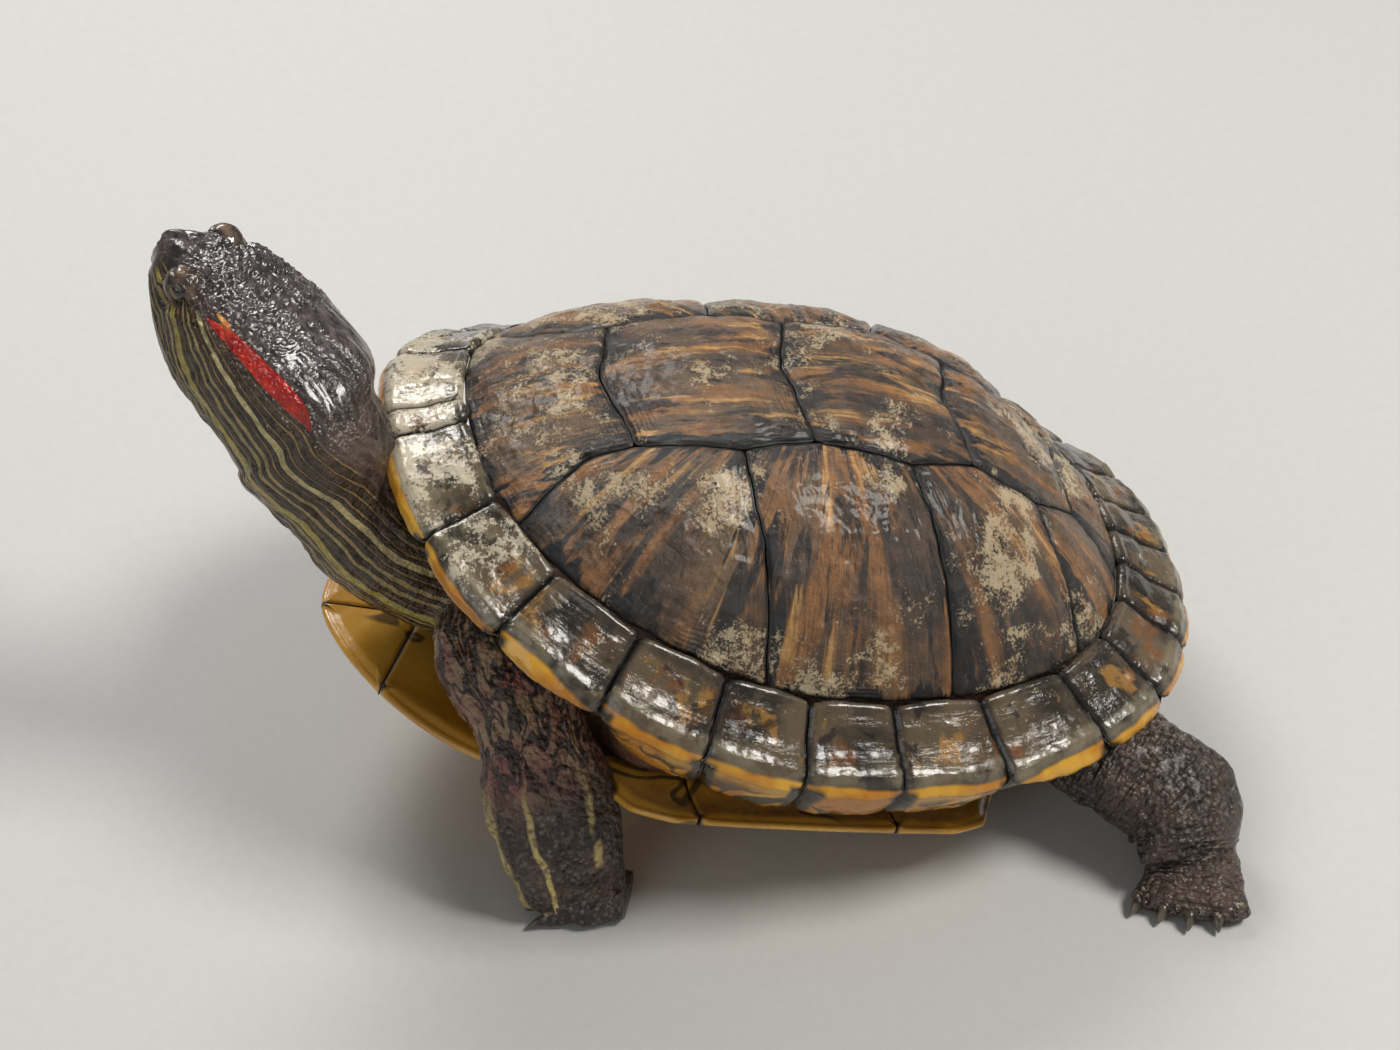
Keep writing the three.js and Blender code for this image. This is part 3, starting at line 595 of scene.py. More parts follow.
def plastronHalf():
    front = [(lerp(plastron["axillaX"] + 10, plastron["frontX"], math.cos(a) ** 1.1),
              plastron["frontHalf"] * math.sin(a) ** 1.3) for a in np.linspace(0, math.pi / 2 - 1e-6, 19)]
    bridge = [(plastron["axillaX"], plastron["waistHalf"]),
              (plastron["bridgeFrontX"] + 4, plastron["bridgeHalf"] - 7),
              (plastron["bridgeFrontX"] - 6, plastron["bridgeHalf"] - 1), (16, plastron["bridgeHalf"]),
              (-8, plastron["bridgeHalf"]), (plastron["bridgeRearX"] + 6, plastron["bridgeHalf"] - 2),
              (plastron["bridgeRearX"] - 4, plastron["bridgeHalf"] - 8),
              (plastron["inguinalX"], plastron["waistHalf"] - 3), (-62, plastron["rearHalf"])]
    rear = [(lerp(-63, plastron["rearX"], math.sin(a) ** 0.9), plastron["rearHalf"] * math.cos(a) ** 0.75)
            for a in np.linspace(0.1, math.pi / 2 * 0.86, 12)]
    return np.array(front + bridge + rear + [(plastron["rearX"] + 4, 0)])


def plastronUnder(x, y):
    bridge = np.maximum((np.abs(y) - 54) / (plastron["bridgeHalf"] - 54), 0)
    lip = smooth(80, plastron["frontX"] + 12, x)
    return -shell["plastronDepth"] + 6 * bridge ** 2 + 3 * lip


def halfPlate(name, front, rear, side, seed):
    # rings run from the middle of the underside over the rounded edge to the middle of the upper side
    half = plastronHalf()
    order = np.argsort(-half[:, 0])
    widthAt = lambda x: np.interp(-x, -half[order, 0], half[order, 1])
    slants = [plastron["gularSlant"] if x == plastronPlates["humeral"][0] else 0 for x in (front, rear)]
    corners = [(front, 0.0)] if front < plastron["frontX"] else []
    ends = []
    for x, slant in zip((front, rear), slants):
        atEdge = x
        for _ in range(20):  # where a slanted seam meets the edge
            atEdge = x + slant * widthAt(atEdge)
        ends.append(atEdge)
    if corners:
        corners.append((ends[0], widthAt(ends[0])))
    corners += [tuple(p) for p in half if ends[1] < p[0] < ends[0]]
    if rear > plastron["rearX"]:
        corners += [(ends[1], widthAt(ends[1])), (rear, 0.0)]
    edge = softened(evenedRing(corners, plastron["around"]), 3)
    edge[:, 1] = np.maximum(edge[:, 1], 0)
    onSeam = edge[:, 1] < 0.6
    for x, slant in zip((front, rear), slants):
        onSeam |= np.abs(edge[:, 0] - x - slant * edge[:, 1]) < 0.6
    # 1 where the edge is free, and 0 where it meets another plate
    free = softened(np.where(onSeam, 0.0, 1.0), 4)
    middle = edge.mean(0)
    face = 1 - (1 - np.linspace(0, 1, plastron["faceRows"])) ** 1.5
    turn = np.radians([-60, -30, 0, 30, 60])
    shares = np.concatenate([face, np.ones(len(turn)), face[::-1]])
    level = np.concatenate([np.full(len(face), -1.0), np.sin(turn), np.full(len(face), 1.0)])
    bulge = np.concatenate([np.zeros(len(face)), np.cos(turn), np.zeros(len(face))])

    def place(u, v):
        size = np.linalg.norm(edge - middle, axis=1)
        inner = middle + (edge - middle) * (1 - (0.22 + 0.9 * free) / size)[:, None]
        ring = np.vstack([inner, inner[:1]])
        flat = middle + (ring[None] - middle) * shares[:, None, None]
        openEdge = np.append(free, free[0])[None]
        outward = unit(ring - middle)
        flat = flat + outward[None] * (bulge[:, None] * (0.1 + 1.3 * openEdge))[..., None]
        edgeGap = nearestEdge(flat.reshape(-1, 2), inner).reshape(flat.shape[:2])
        edgeGap = np.where(np.abs(level[:, None]) < 1, 0, edgeGap)
        x, y = flat[..., 0], flat[..., 1]
        spots = np.stack([x, y, 0 * x], -1)
        rolled = hump(edgeGap, lerp(0.55, 1.5, openEdge)) * lerp(0.45, 1.1, openEdge)
        wear = 0.12 * ripple(spots, 22, seed) + 0.035 * ripple(spots, 5, seed + 1)
        thick = plastron["thickness"] / 2
        z = plastronUnder(x, y) + thick + level[:, None] * (thick - rolled) + np.sign(level)[:, None] * (
            wear * smooth(0.5, 3, edgeGap) * (np.abs(level[:, None]) == 1))
        points = onShell(np.stack([x, y * side, z], -1)) - [0, 0, plastron["sink"]]
        points[..., 2] = np.maximum(points[..., 2], 0)
        grain = np.stack([x, y * side, np.full(x.shape, seed * 3.7)], -1)
        return points, {"grain": grain, "seam": edgeGap, "openEdge": openEdge * hump(edgeGap, 5)}

    return wrapGrid(name, plastron["around"], len(shares) - 1, place, ("grain", "seam", "openEdge"))


def joinPieces(name, pieces):
    # one mesh of several closed shells
    work = bmesh.new()
    for piece in pieces:
        work.from_mesh(piece.data)
    mesh = newMesh(name, work)
    mesh.shade_smooth()
    return bpy.data.objects.new(name, mesh)


# the head points up and a little to the right
headTurn, headRaise = math.radians(33), math.radians(32.4)
headForward = np.array([-math.sin(headTurn) * math.cos(headRaise), -math.cos(headTurn) * math.cos(headRaise),
                        math.sin(headRaise)])
headLeft = np.array([math.cos(headTurn), -math.sin(headTurn), 0])
headUp = np.cross(headForward, headLeft)
snoutTip = np.array([-23.9, -147.3, 153.5])
headStations = [  # back, crown, throat, half width
    (0.35, -2.6, -7.4, 2.4), (1.6, -0.4, -10.2, 5), (5, 1.4, -14.7, 8.5), (10, 3.4, -19.5, 12.8),
    (16, 5.2, -24.2, 16.6), (23, 5.6, -27.9, 19), (31, 5.3, -30.7, 20.5), (39, 4.4, -32.9, 21.6)]
neckStations = [  # place, half width, half thickness
    ((-2.9, -119.3, 111.3), 21.8, 19.1), ((2.4, -119.4, 106.2), 19, 16.8), ((4.5, -109.6, 89.2), 17.4, 16.4),
    ((3.9, -98.1, 73.1), 19, 18), ((1, -80, 61), 24, 17), ((0, -55, 57), 30, 17)]
skinLayers = {"fleshPlace": 3, "region": 3, "headMarks": 3, "lid": 1, "relief": 1}  # and their widths
head = {"columns": 220 if full else 110, "headRows": 150 if full else 70, "neckRows": 96 if full else 50,
        "steadying": 300 if full else 80, "nape": 5.2}
# how far, in millimetres, each form stands out of the plain head and neck, or sinks into them
headForm = {"crownBumps": 0.62, "crownGrain": 0.17, "noseDip": 0.7, "brow": 0.5, "keel": 0.9, "pinch": 0.9,
            "hollow": 1.5, "cheek": 0.8, "drum": 0.35, "drumEdge": 0.2, "mouth": 0.75, "beak": 0.3,
            "lowerLip": 0.14, "mouthEnd": 0.35, "nostril": 1.1, "nostrilEdge": 0.3, "fold": 0.2,
            "fineFold": 0.11, "neckFold": 0.24, "fineNeckFold": 0.16, "crossFold": 0.4, "grain": 0.3}
eye = {"back": 12.2, "side": 9.5, "up": -1.5, "radius": 4.1, "lid": 4.75, "gazeBack": 0.2, "gazeUp": 0.22,
       "openWide": 0.62, "openHigh": 0.34, "openDrop": 0.16, "moat": 1.25, "moatAt": 6.3}
# where the stripes of head and neck run: place round the body (0 crown, 1 throat) at each distance back
stripeRun = {"back": (0, 6, 12, 16, 20, 24, 32, 38, 48, 55, 64, 72, 90),
             "around": (0.24, 0.245, 0.25, 0.27, 0.305, 0.339, 0.383, 0.4, 0.4, 0.378, 0.333, 0.285, 0.28)}
stripeGap = {"back": (0, 12, 24, 42, 56, 72), "around": (0.05, 0.037, 0.033, 0.033, 0.041, 0.046)}
stripeTop = {"back": (0, 12, 18, 22, 34, 42, 50, 54, 65, 79, 95),
             "around": (0.36, 0.36, 0.30, 0.285, 0.295, 0.29, 0.27, 0.228, 0.139, 0.128, 0.1)}
blazeRun = {"back": (21, 27, 33, 40, 45, 54, 58), "around": (0.28, 0.261, 0.2525, 0.25, 0.238, 0.231, 0.229)}
blazeHalf = {"back": (20, 21.5, 24, 27, 33, 40, 45, 49, 52, 54, 57),
             "around": (-0.02, 0.008, 0.019, 0.028, 0.040, 0.040, 0.042, 0.036, 0.022, 0.012, -0.02)}


def onHead(points):
    return snoutTip - points[..., :1] * headForward + points[..., 1:2] * headLeft + points[..., 2:] * headUp


def eyeFrame(side):
    # centre of the eye in the head's axes (back, left, up), and where it looks
    centre = np.array([eye["back"], side * eye["side"], eye["up"]])
    gaze = unit(np.array([eye["gazeBack"], side * 1.0, eye["gazeUp"]]))
    top = unit(np.array([0.25, -side * 0.35, 1.0]))
    top = unit(top - gaze * (top @ gaze))
    return centre, gaze, np.cross(top, gaze), top


def shapeHead(local):
    # everything that the plain loft lacks, as a lift along the surface
    form = headForm
    b, y, z = local[..., 0], local[..., 1], local[..., 2]
    side = np.abs(y)
    lift = np.zeros(b.shape)
    crown = smooth(-7, -1.5, z)
    # shiny bumps on the crown, coarser towards the back and drawn out there
    rough = smooth(7, 12, b) * (1 - smooth(36, 46, b)) * crown
    worms = 1 - np.abs(ripple(local * [0.75, 1, 1], 3.0, 61, 14)) * 1.7
    bumps = form["crownBumps"] * np.maximum(worms, 0) - 0.15 + form["crownGrain"] * ripple(local, 1.5, 63, 14)
    lift += rough * bumps
    # snout, brows and the dip between them
    lift += -form["noseDip"] * hump(b - 10.5, 4) * hump(y, 3.2) * crown
    lift += form["brow"] * hump(b - 4.5, 3.5) * hump(side - 3.4, 1.3) * crown
    keel = form["keel"] * hump(b - 2.2, 2.4) * hump(y, 1.1) * crown
    lift += keel - form["pinch"] * hump(b - 2.5, 2.6) * hump(side - 4.2, 1.7)
    # hollow before the eye
    lift += -form["hollow"] * hump(b - 5.8, 2.6) * hump(z + 2.4, 3.0) * smooth(3.6, 6.2, side)
    # jaw hinge, cheek and the drum of the ear
    lift += form["cheek"] * hump(b - 27, 9) * hump(z + 14, 7)
    drum = np.hypot(b - 27.5, z + 8.5)
    ear = -form["drum"] * hump(drum, 3.4) + form["drumEdge"] * hump(drum - 4.4, 1.0)
    lift += ear * smooth(8, 11, side)
    # mouth from under the snout to behind the eye, with the beak's edge above it
    mouth = -9.2 - 0.26 * np.maximum(b, 0) - 1.3 * hump(b, 2.2) * (1 - hump(y, 1.1))
    along = 1 - smooth(17.5, 20.5, b)
    gap = z - mouth
    lips = -form["mouth"] * hump(gap, 0.33) + form["beak"] * hump(gap - 0.8, 0.6)
    lift += (lips + form["lowerLip"] * hump(gap + 0.9, 0.6)) * along
    lift += form["mouthEnd"] * hump(np.hypot(b - 20.5, gap), 1.6)
    for nostril in (-1.55, 1.55):
        lift += -form["nostril"] * hump(np.linalg.norm(local - [0.7, nostril, -3.1], axis=-1), 0.62)
        lift += form["nostrilEdge"] * hump(np.linalg.norm(local - [0.8, nostril, -3.1], axis=-1) - 1.0, 0.4)
    # fine folds of the throat and the side of the head, run lengthwise
    fold = ripple(local * [0.3, 1, 1.3], 4.0, 67) * form["fold"]
    fold = fold + ripple(local * [0.2, 1.4, 1.4], 2.2, 69) * form["fineFold"]
    lift += fold * smooth(16, 24, b) * (1 - crown * 0.5)
    return lift


def addLids(local, outLocal):
    # the skin swells over each eyeball inside a shallow moat, and opens in a low slit
    lidMask = np.zeros(local.shape[:-1])
    for side in (-1, 1):
        centre, gaze, across, top = eyeFrame(side)
        offset = local - centre
        near = (offset @ gaze) > -1.5
        distance = np.linalg.norm(offset, axis=-1)
        moat = eye["moat"] * hump(distance - eye["moatAt"], 1.25) * near
        local = local - outLocal * moat[..., None]
        offset = local - centre
        distance = np.linalg.norm(offset, axis=-1)
        direction = offset / np.maximum(distance, 1e-6)[..., None]
        soft = 0.22
        pushed = np.logaddexp(distance / soft, eye["lid"] / soft) * soft
        pushed = np.where(distance > eye["lid"] + 4, distance, pushed)
        wide, high = direction @ across, direction @ top
        forwardness = direction @ gaze
        slit = np.hypot(wide / eye["openWide"], (high + eye["openDrop"] + 0.14 * wide ** 2) / eye["openHigh"])
        front = (forwardness > 0.2) & (distance < 8)
        inside = np.where(front, 1 - smooth(0.88, 1.08, slit), 0)
        rimRoll = np.where(front, hump(slit - 1.3, 0.25), 0)
        creases = np.where(near, 0.2 * np.cos(slit * 7.0) * hump(slit - 2.4, 1.3), 0)
        target = pushed + 0.24 * rimRoll + creases
        target = lerp(target, eye["radius"] - 0.55, inside)
        local = np.where(near[..., None], centre + direction * target[..., None], local)
        lidMask = np.maximum(lidMask, np.where(near, hump(np.maximum(distance - 4.4, 0), 1.0), 0))
    return local, lidMask


def headAndNeck(u, v):
    rings = []
    for back, crown, throat, half in headStations:
        level = (crown + throat) / 2
        centre = onHead(np.array([back, 0, level]))
        rings.append([*centre, half, crown - level, level - throat, 0, back])
    for spot, wide, thick in neckStations:
        rings.append([*spot, wide, thick, thick, 1, 0])
    rings = np.array(rings, float)
    gaps = np.linalg.norm(np.diff(rings[len(headStations) - 1:, :3], axis=0), axis=1)
    rings[len(headStations):, 7] = rings[len(headStations) - 1, 7] + np.cumsum(gaps)
    guide, run = curveThrough(rings, 400)
    cut = np.interp(44, guide[:, 7], run)
    nose = np.linspace(0, 1, head["headRows"]) ** 1.12 * cut
    rest = np.linspace(cut, run[-1], head["neckRows"] + 1)[1:]
    want = np.concatenate([nose, rest])
    track = np.stack([np.interp(want, run, guide[:, k]) for k in range(8)], 1)
    along = unit(np.gradient(track[:, :3], axis=0))
    for _ in range(head["steadying"]):
        along[1:-1] = (along[:-2] + 2 * along[1:-1] + along[2:]) / 4
    neckUp = np.cross(-along, unit(headLeft - along * (along @ headLeft)[:, None]))
    bend = smooth(34, 66, track[:, 7])[:, None]
    up = unit(lerp(headUp, neckUp, bend))
    left = unit(headLeft - up * (up @ headLeft)[:, None])
    angle = u * 2 * math.pi + math.pi / 2
    c, s = np.cos(angle), np.sin(angle)
    s[0] = s[-1] = 1
    isHead = (1 - bend[:, 0])[:, None]
    aside = np.abs(c)[None]
    wide = track[:, 3:4] * c[None] * aside ** (-0.15 * isHead * (aside > 1e-6))
    wide = np.where(aside < 1e-6, 0, wide)
    rise = np.where(s > 0, track[:, 4:5], track[:, 5:6])
    sharp = lerp(1, np.where(s > 0, 0.8, 0.88)[None], isHead)
    high = rise * np.sign(s)[None] * np.abs(s)[None] ** sharp
    points = track[:, None, :3] + left[:, None] * wide[..., None] + up[:, None] * high[..., None]
    outward = facingAway(points, track[:, None, :3])
    offset = points - snoutTip
    local = np.stack([-(offset @ headForward), offset @ headLeft, offset @ headUp], -1)
    outLocal = np.stack([-(outward @ headForward), outward @ headLeft, outward @ headUp], -1)
    back = track[:, 7:8] + 0 * c[None]
    aroundHalf = np.abs(((angle - math.pi / 2 + math.pi) % (2 * math.pi)) - math.pi)
    around = (aroundHalf / math.pi)[None] + 0 * back
    lift = shapeHead(local) * (1 - smooth(44, 58, back))
    # folds of the neck: long ones on the side and throat, rows of grains and cross folds above its base
    spots = np.stack([back, aroundHalf[None] * 15 + 0 * back, np.sign(c)[None] * 40 + 0 * back], -1)
    onNeck = smooth(38, 52, back)
    longFolds = ripple(spots * [0.16, 1, 1], 5.0, 71) * headForm["neckFold"]
    longFolds = longFolds + ripple(spots * [0.25, 1, 1], 2.4, 73) * headForm["fineNeckFold"]
    crossFolds = (1 - np.abs(ripple(spots * [1, 0.3, 1], 7.5, 75))) * smooth(58, 80, back)
    lift = lift + onNeck * (longFolds + headForm["crossFold"] * crossFolds)
    lift = lift + head["nape"] * hump(back - 62, 11) * smooth(0.45, 0.05, around)
    grains = np.maximum(ripple(spots * [1, 0.8, 1], 2.0, 77), 0)
    grains = grains * smooth(0.24, 0.14, around) * smooth(50, 56, back)
    lift = lift + headForm["grain"] * grains
    local = local + outLocal * lift[..., None]
    local, lidMask = addLids(local, outLocal)
    points = onHead(local)
    points[0] = points[0].mean(0)
    last = np.repeat(track[-1:, :3], len(u), 0)[None]
    points = np.concatenate([points[:1].mean(1, keepdims=True) + 0 * points[:1], points, last])
    at = lambda table: np.interp(back, table["back"], table["around"])
    around = around - 0.085 * (c[None] < 0) * smooth(0.02, 0.2, around) * (1 - smooth(0.45, 0.7, around))
    phase = (around - at(stripeRun)) / at(stripeGap)
    striped = smooth(-0.012, 0.02, around - at(stripeTop)) * smooth(2, 7, back)
    blaze = (at(blazeHalf) - np.abs(around - at(blazeRun))) / 0.04
    fork = 0.5 - np.hypot((back - 25.2) / 5.5, (around - 0.224) / 0.03)
    blaze = np.clip(np.maximum(blaze, fork), -1, 1)
    layers = {"fleshPlace": np.stack([around, back, np.sign(c)[None] + 0 * back], -1),
              "headMarks": np.stack([phase, striped, blaze], -1),
              "region": np.stack([np.ones(back.shape), 0 * back, 0 * back], -1),
              "lid": lidMask, "relief": lift}
    return points + standing, {name: padded(values) for name, values in layers.items()}


# limbs and tail: each station is a place, a half width and a half thickness
foreleg = {
    "stations": [((18, -61, 58), 22, 16), ((34.5, -71, 56.5), 21.8, 13.6), ((49, -71, 48.6), 14, 9.8),
                 ((58, -68, 36), 16.3, 8.4), ((64.5, -65, 23), 16, 7.9), ((68, -62, 4), 13, 7)],
    "broad": (-0.15, 1, 0), "heel": (70, -52, 6), "heading": math.radians(-110), "palm": (15, 10.5, 6),
    "toe": (2.3, 6, 6), "claws": 5, "region": (0, 1, 0), "striped": 1, "scaleSize": 2.6, "scaleDepth": 0.34}
hindLeg = {
    "stations": [((40, 56, 31), 14, 12), ((53, 72, 26), 15, 11), ((64, 86, 22), 16, 12),
                 ((73, 95, 16), 16.5, 12), ((80, 96, 8), 15.5, 8)],
    "broad": (-0.7, 0.7, 0.2), "heel": (80, 98, 7), "heading": math.radians(-20), "palm": (15, 13.5, 7),
    "toe": (3.0, 7.2, 4.4), "claws": 4, "region": (0, 0, 1), "scaleSize": 1.9, "scaleDepth": 0.3}
tail = {
    "stations": [((0, 62, 22), 12, 10), ((-2, 82, 15), 9.5, 8), ((-9, 99, 7), 6.4, 6),
                 ((-22, 110, 3.4), 4, 3.8), ((-37, 115, 1.4), 1.6, 1.6)],
    "broad": (1, 0, 0), "region": (0, 0, 1), "scaleSize": 2.0, "scaleDepth": 0.22}
limbGrid = {"columns": 96 if full else 56, "rows": 84 if full else 44, "spread": 0.5, "footSink": 0.5,
            "scaleSeed": 17}


def restepped(limb, dx, dy, turn):
    # the same limb with its foot set down elsewhere
    last = len(limb["stations"]) - 1
    stations = [((x + dx * i / last, y + dy * i / last, z), wide, thick)
                for i, ((x, y, z), wide, thick) in enumerate(limb["stations"])]
    x, y, z = limb["heel"]
    heading = limb["heading"] + math.radians(turn)
    return {**limb, "stations": stations, "heel": (x + dx, y + dy, z), "heading": heading}


def mirroredLimb(limb):
    stations = [((-x, y, z), wide, thick) for (x, y, z), wide, thick in limb["stations"]]
    broad = (-limb["broad"][0], limb["broad"][1], limb["broad"][2])
    x, y, z = limb["heel"]
    return {**limb, "stations": stations, "broad": broad, "heel": (-x, y, z),
            "heading": math.pi - limb["heading"]}


def scaleSeeds(points, spacing, seed):
    # one seed for each scale, thinned so that none lie close together
    draw = np.random.default_rng(seed)
    order = draw.permutation(len(points))
    kept = []
    boxes = {}  # seeds by the cube of space they lie in
    for i in order:
        key = tuple((points[i] // spacing).astype(int))
        near = [boxes.get((key[0] + a, key[1] + b, key[2] + c), [])
                for a in (-1, 0, 1) for b in (-1, 0, 1) for c in (-1, 0, 1)]
        if all(np.linalg.norm(points[i] - q) > spacing * 0.8 for group in near for q in group):
            boxes.setdefault(key, []).append(points[i])
            kept.append(points[i])
    return np.array(kept)


def scaleEdges(points, spacing, seed):
    # 0 in the groove between scales, rising to 1 on each scale
    seeds = scaleSeeds(points, spacing, seed)
    tree = treeOf(seeds, range(len(seeds)))
    gaps = np.empty(len(points))
    for i, p in enumerate(points):
        found = tree.find_n(p, 2)
        gaps[i] = found[1][2] - found[0][2]
    return smooth(0.0, 0.38 * spacing, gaps)


def limbSweep(name, limb, columns, rows, rounded=0.9):
    def place(u, v):
        stations = [[*spot, wide, thick] for spot, wide, thick in limb["stations"]]
        track, run = curveThrough(stations, rows - 1)
        along = unit(np.gradient(track[:, :3], axis=0))
        broad = np.array(limb["broad"], float)
        across = unit(broad - along * (along @ broad)[:, None])
        through = np.cross(along, across)
        angle = u * 2 * math.pi
        c, s = np.cos(angle), np.sin(angle)
        wide = track[:, 3:4] * signedPower(c, rounded)[None]
        thick = track[:, 4:5] * signedPower(s, rounded)[None]
        points = track[:, None, :3] + across[:, None] * wide[..., None] + through[:, None] * thick[..., None]
        points[:, -1] = points[:, 0]
        edges = scaleEdges(points.reshape(-1, 3), limb["scaleSize"], limbGrid["scaleSeed"])
        edges = edges.reshape(points.shape[:2])
        folds = 0.5 * ripple(points, 13, 81) + 0.2 * ripple(points, 5, 83)
        lift = (edges - 0.8) * limb["scaleDepth"] + folds * 0.8
        points = points + facingAway(points, track[:, None, :3]) * lift[..., None]
        first = np.repeat(track[:1, :3], len(u), 0)[None]
        last = np.repeat(track[-1:, :3], len(u), 0)[None]
        points = np.concatenate([first, points, last])
        turned = np.stack([c[None] + 0 * edges, s[None] + 0 * edges, run[:, None] + 0 * edges], -1)
        region = np.broadcast_to(np.array(limb["region"], float), edges.shape + (3,))
        layers = {"fleshPlace": turned, "region": region, "lid": 0 * edges, "relief": edges,
                  "headMarks": 0 * turned + [limb.get("toeMark", -1), limb.get("striped", 0), -1]}
        return points + standing, {name: padded(values) for name, values in layers.items()}

    return wrapGrid(name, columns, rows, place, skinLayers)


def footFrame(limb):
    heel = np.array(limb["heel"], float)
    forward = np.array([math.cos(limb["heading"]), math.sin(limb["heading"]), 0])
    broad = np.array([-forward[1], forward[0], 0])

    def at(along, across, z):
        spot = heel + forward * along + broad * across
        spot[2] = z - limbGrid["footSink"]
        return spot
    return at, broad


def toeLine(limb, i):
    at, _ = footFrame(limb)
    length, half, _ = limb["palm"]
    radius, toeLength, _ = limb["toe"]
    side = (i - 2) / 2
    angle = limb["heading"] + side * limbGrid["spread"]
    direction = np.array([math.cos(angle), math.sin(angle), 0])
    root = at(length * 0.8, side * half * 0.8, radius)
    end = root + direction * toeLength * (1 - 0.22 * abs(side))
    return root, end, direction, radius


def footPieces(name, limb):
    at, broad = footFrame(limb)
    length, half, height = limb["palm"]
    base = {"region": limb["region"], "scaleSize": limb["scaleSize"] * 0.8,
            "scaleDepth": limb["scaleDepth"] * 0.8}
    palm = {**base, "broad": broad, "stations": [
        (at(-3, 0, height), half * 0.72, height * 0.9),
        (at(length * 0.5, 0, height * 0.8), half, height * 0.85),
        (at(length, 0, height * 0.6), half * 1.02, height * 0.6),
        (at(length + limb["toe"][1] * 0.45, 0, height * 0.36), half * 1.05, height * 0.34)]}
    pieces = [limbSweep(name + "Palm", palm, limbGrid["columns"] // 2, limbGrid["rows"] // 3)]
    for i in range(5):
        root, end, direction, radius = toeLine(limb, i)
        across = np.array([-direction[1], direction[0], 0])
        knuckle = lerp(root, end, 0.55) + [0, 0, radius * 0.25]
        toe = {**base, "broad": across, "toeMark": 1, "scaleSize": 1.3, "scaleDepth": 0.16, "stations": [
            (root, radius * 1.2, radius), (knuckle, radius * 1.1, radius * 1.05),
            (end, radius * 0.85, radius * 0.85)]}
        pieces.append(limbSweep(name + "Toe" + str(i), toe, 26, 18, 1.0))
    return pieces


def footClaws(name, limb):
    pieces = []
    radius, _, clawLength = limb["toe"]
    for i in range(limb["claws"]):
        _, end, direction, _ = toeLine(limb, i)
        start = end - direction * 1.6
        thick = radius * 0.75

        def place(u, v):
            t = np.concatenate([[0], np.linspace(0, 1, len(v) - 1)])
            upward = np.array([0, 0, 1.0])
            rise = 0.9 * np.sin(np.pi * np.minimum(t * 1.1, 1)) - 1.1 * t
            centre = start + direction * (t * (clawLength + 0.6))[:, None] + upward * rise[:, None]
            size = thick * (1 - t ** 1.6) ** 0.8
            size[0] = 0
            angle = u * 2 * math.pi
            across = np.array([-direction[1], direction[0], 0])
            ring = np.cos(angle)[:, None] * across * 0.85 + np.sin(angle)[:, None] * upward
            points = centre[:, None] + ring[None] * size[:, None, None]
            points[:, -1] = points[:, 0]
            points = points + standing
            points[..., 2] = np.maximum(points[..., 2], 0.02)
            return points, {"clawRun": np.broadcast_to(t[:, None], points.shape[:2])}

        pieces.append(wrapGrid(name + str(i), 20, 22, place, ("clawRun",)))
    return joinPieces(name, pieces)


trunk = {"under": 5.4, "columns": 110, "wallRows": 46, "fold": 0.9, "foldSize": 8, "foldSink": 1.3,
         "topShares": (0.0, 0.1, 0.25, 0.4, 0.55, 0.68, 0.75),
         "down": (0, 0.28, 0.6, 1), "wallShare": (0.79, 0.785, 0.78, 0.76), "setBack": (0, 0.03, 0.07, 0.08)}


def trunkBody():
    def place(u, v):
        angle = u * 2 * math.pi
        folded = (angle + math.pi) % (2 * math.pi) - math.pi
        rows = []
        for share in trunk["topShares"]:
            plan = planAt(angle, share) if share else np.zeros((len(u), 2))
            rows.append(carapacePoint(plan) - outOfShell(plan) * trunk["under"])
        steps = np.linspace(0, 1, trunk["wallRows"])
        for k in steps:  # the wall, down to the plastron and set back at the sockets
            setBack = np.interp(k, trunk["down"], trunk["setBack"])
            share = np.interp(k, trunk["down"], trunk["wallShare"])
            plan = planAt(angle, share - setBack * (1 - onBridge(folded)))
            top = carapacePoint(plan) - outOfShell(plan) * trunk["under"]
            floor = plastronUnder(top[:, 0], top[:, 1]) + plastron["thickness"] + 1
            top[:, 2] = lerp(top[:, 2], floor, k)
            rows.append(top)
        points = np.array(rows)
        wallPart = np.concatenate([np.zeros(len(trunk["topShares"])), np.sin(np.pi * steps)])[:, None]
        socket = (1 - onBridge(folded))[None]
        folds = 1 - np.abs(ripple(points * [0.6, 0.6, 1.5], trunk["foldSize"], 91))
        folds = folds * trunk["fold"] - trunk["foldSink"]
        points = points + facingAway(points, 0) * (folds * wallPart * socket)[..., None]
        base = np.array([0, 0, -shell["plastronDepth"] + plastron["thickness"] + 1.0])
        points = np.concatenate([points, np.broadcast_to(base, (1, len(u), 3))])
        points[:, -1] = points[:, 0]
        blank = np.zeros(points.shape[:2])
        empty = np.stack([blank, blank, blank], -1)
        return onShell(points), {"fleshPlace": empty, "region": empty, "lid": blank, "relief": blank,
                                 "headMarks": empty - 1}

    rows = len(trunk["topShares"]) + trunk["wallRows"]
    return wrapGrid("trunkBody", trunk["columns"], rows, place, skinLayers)


# how the skin's parts are joined: millimetres round each crease, and rounds of smoothing
joining = {"radius": 4.5, "shapeRounds": 26, "layerRounds": 30, "strength": 0.6}


def unite(target, others):
    # the outer surface of all of them together
    for other in others:
        cut = target.modifiers.new("join", "BOOLEAN")
        cut.operation = "UNION"
        cut.solver = "MANIFOLD"
        cut.object = other
    scene = bpy.context.scene.collection
    for piece in [target] + others:
        scene.objects.link(piece)
    bpy.context.view_layer.update()
    made = bpy.data.meshes.new_from_object(target.evaluated_get(bpy.context.evaluated_depsgraph_get()))
    for piece in [target] + others:
        bpy.data.objects.remove(piece)
    return bpy.data.objects.new("joined", made)


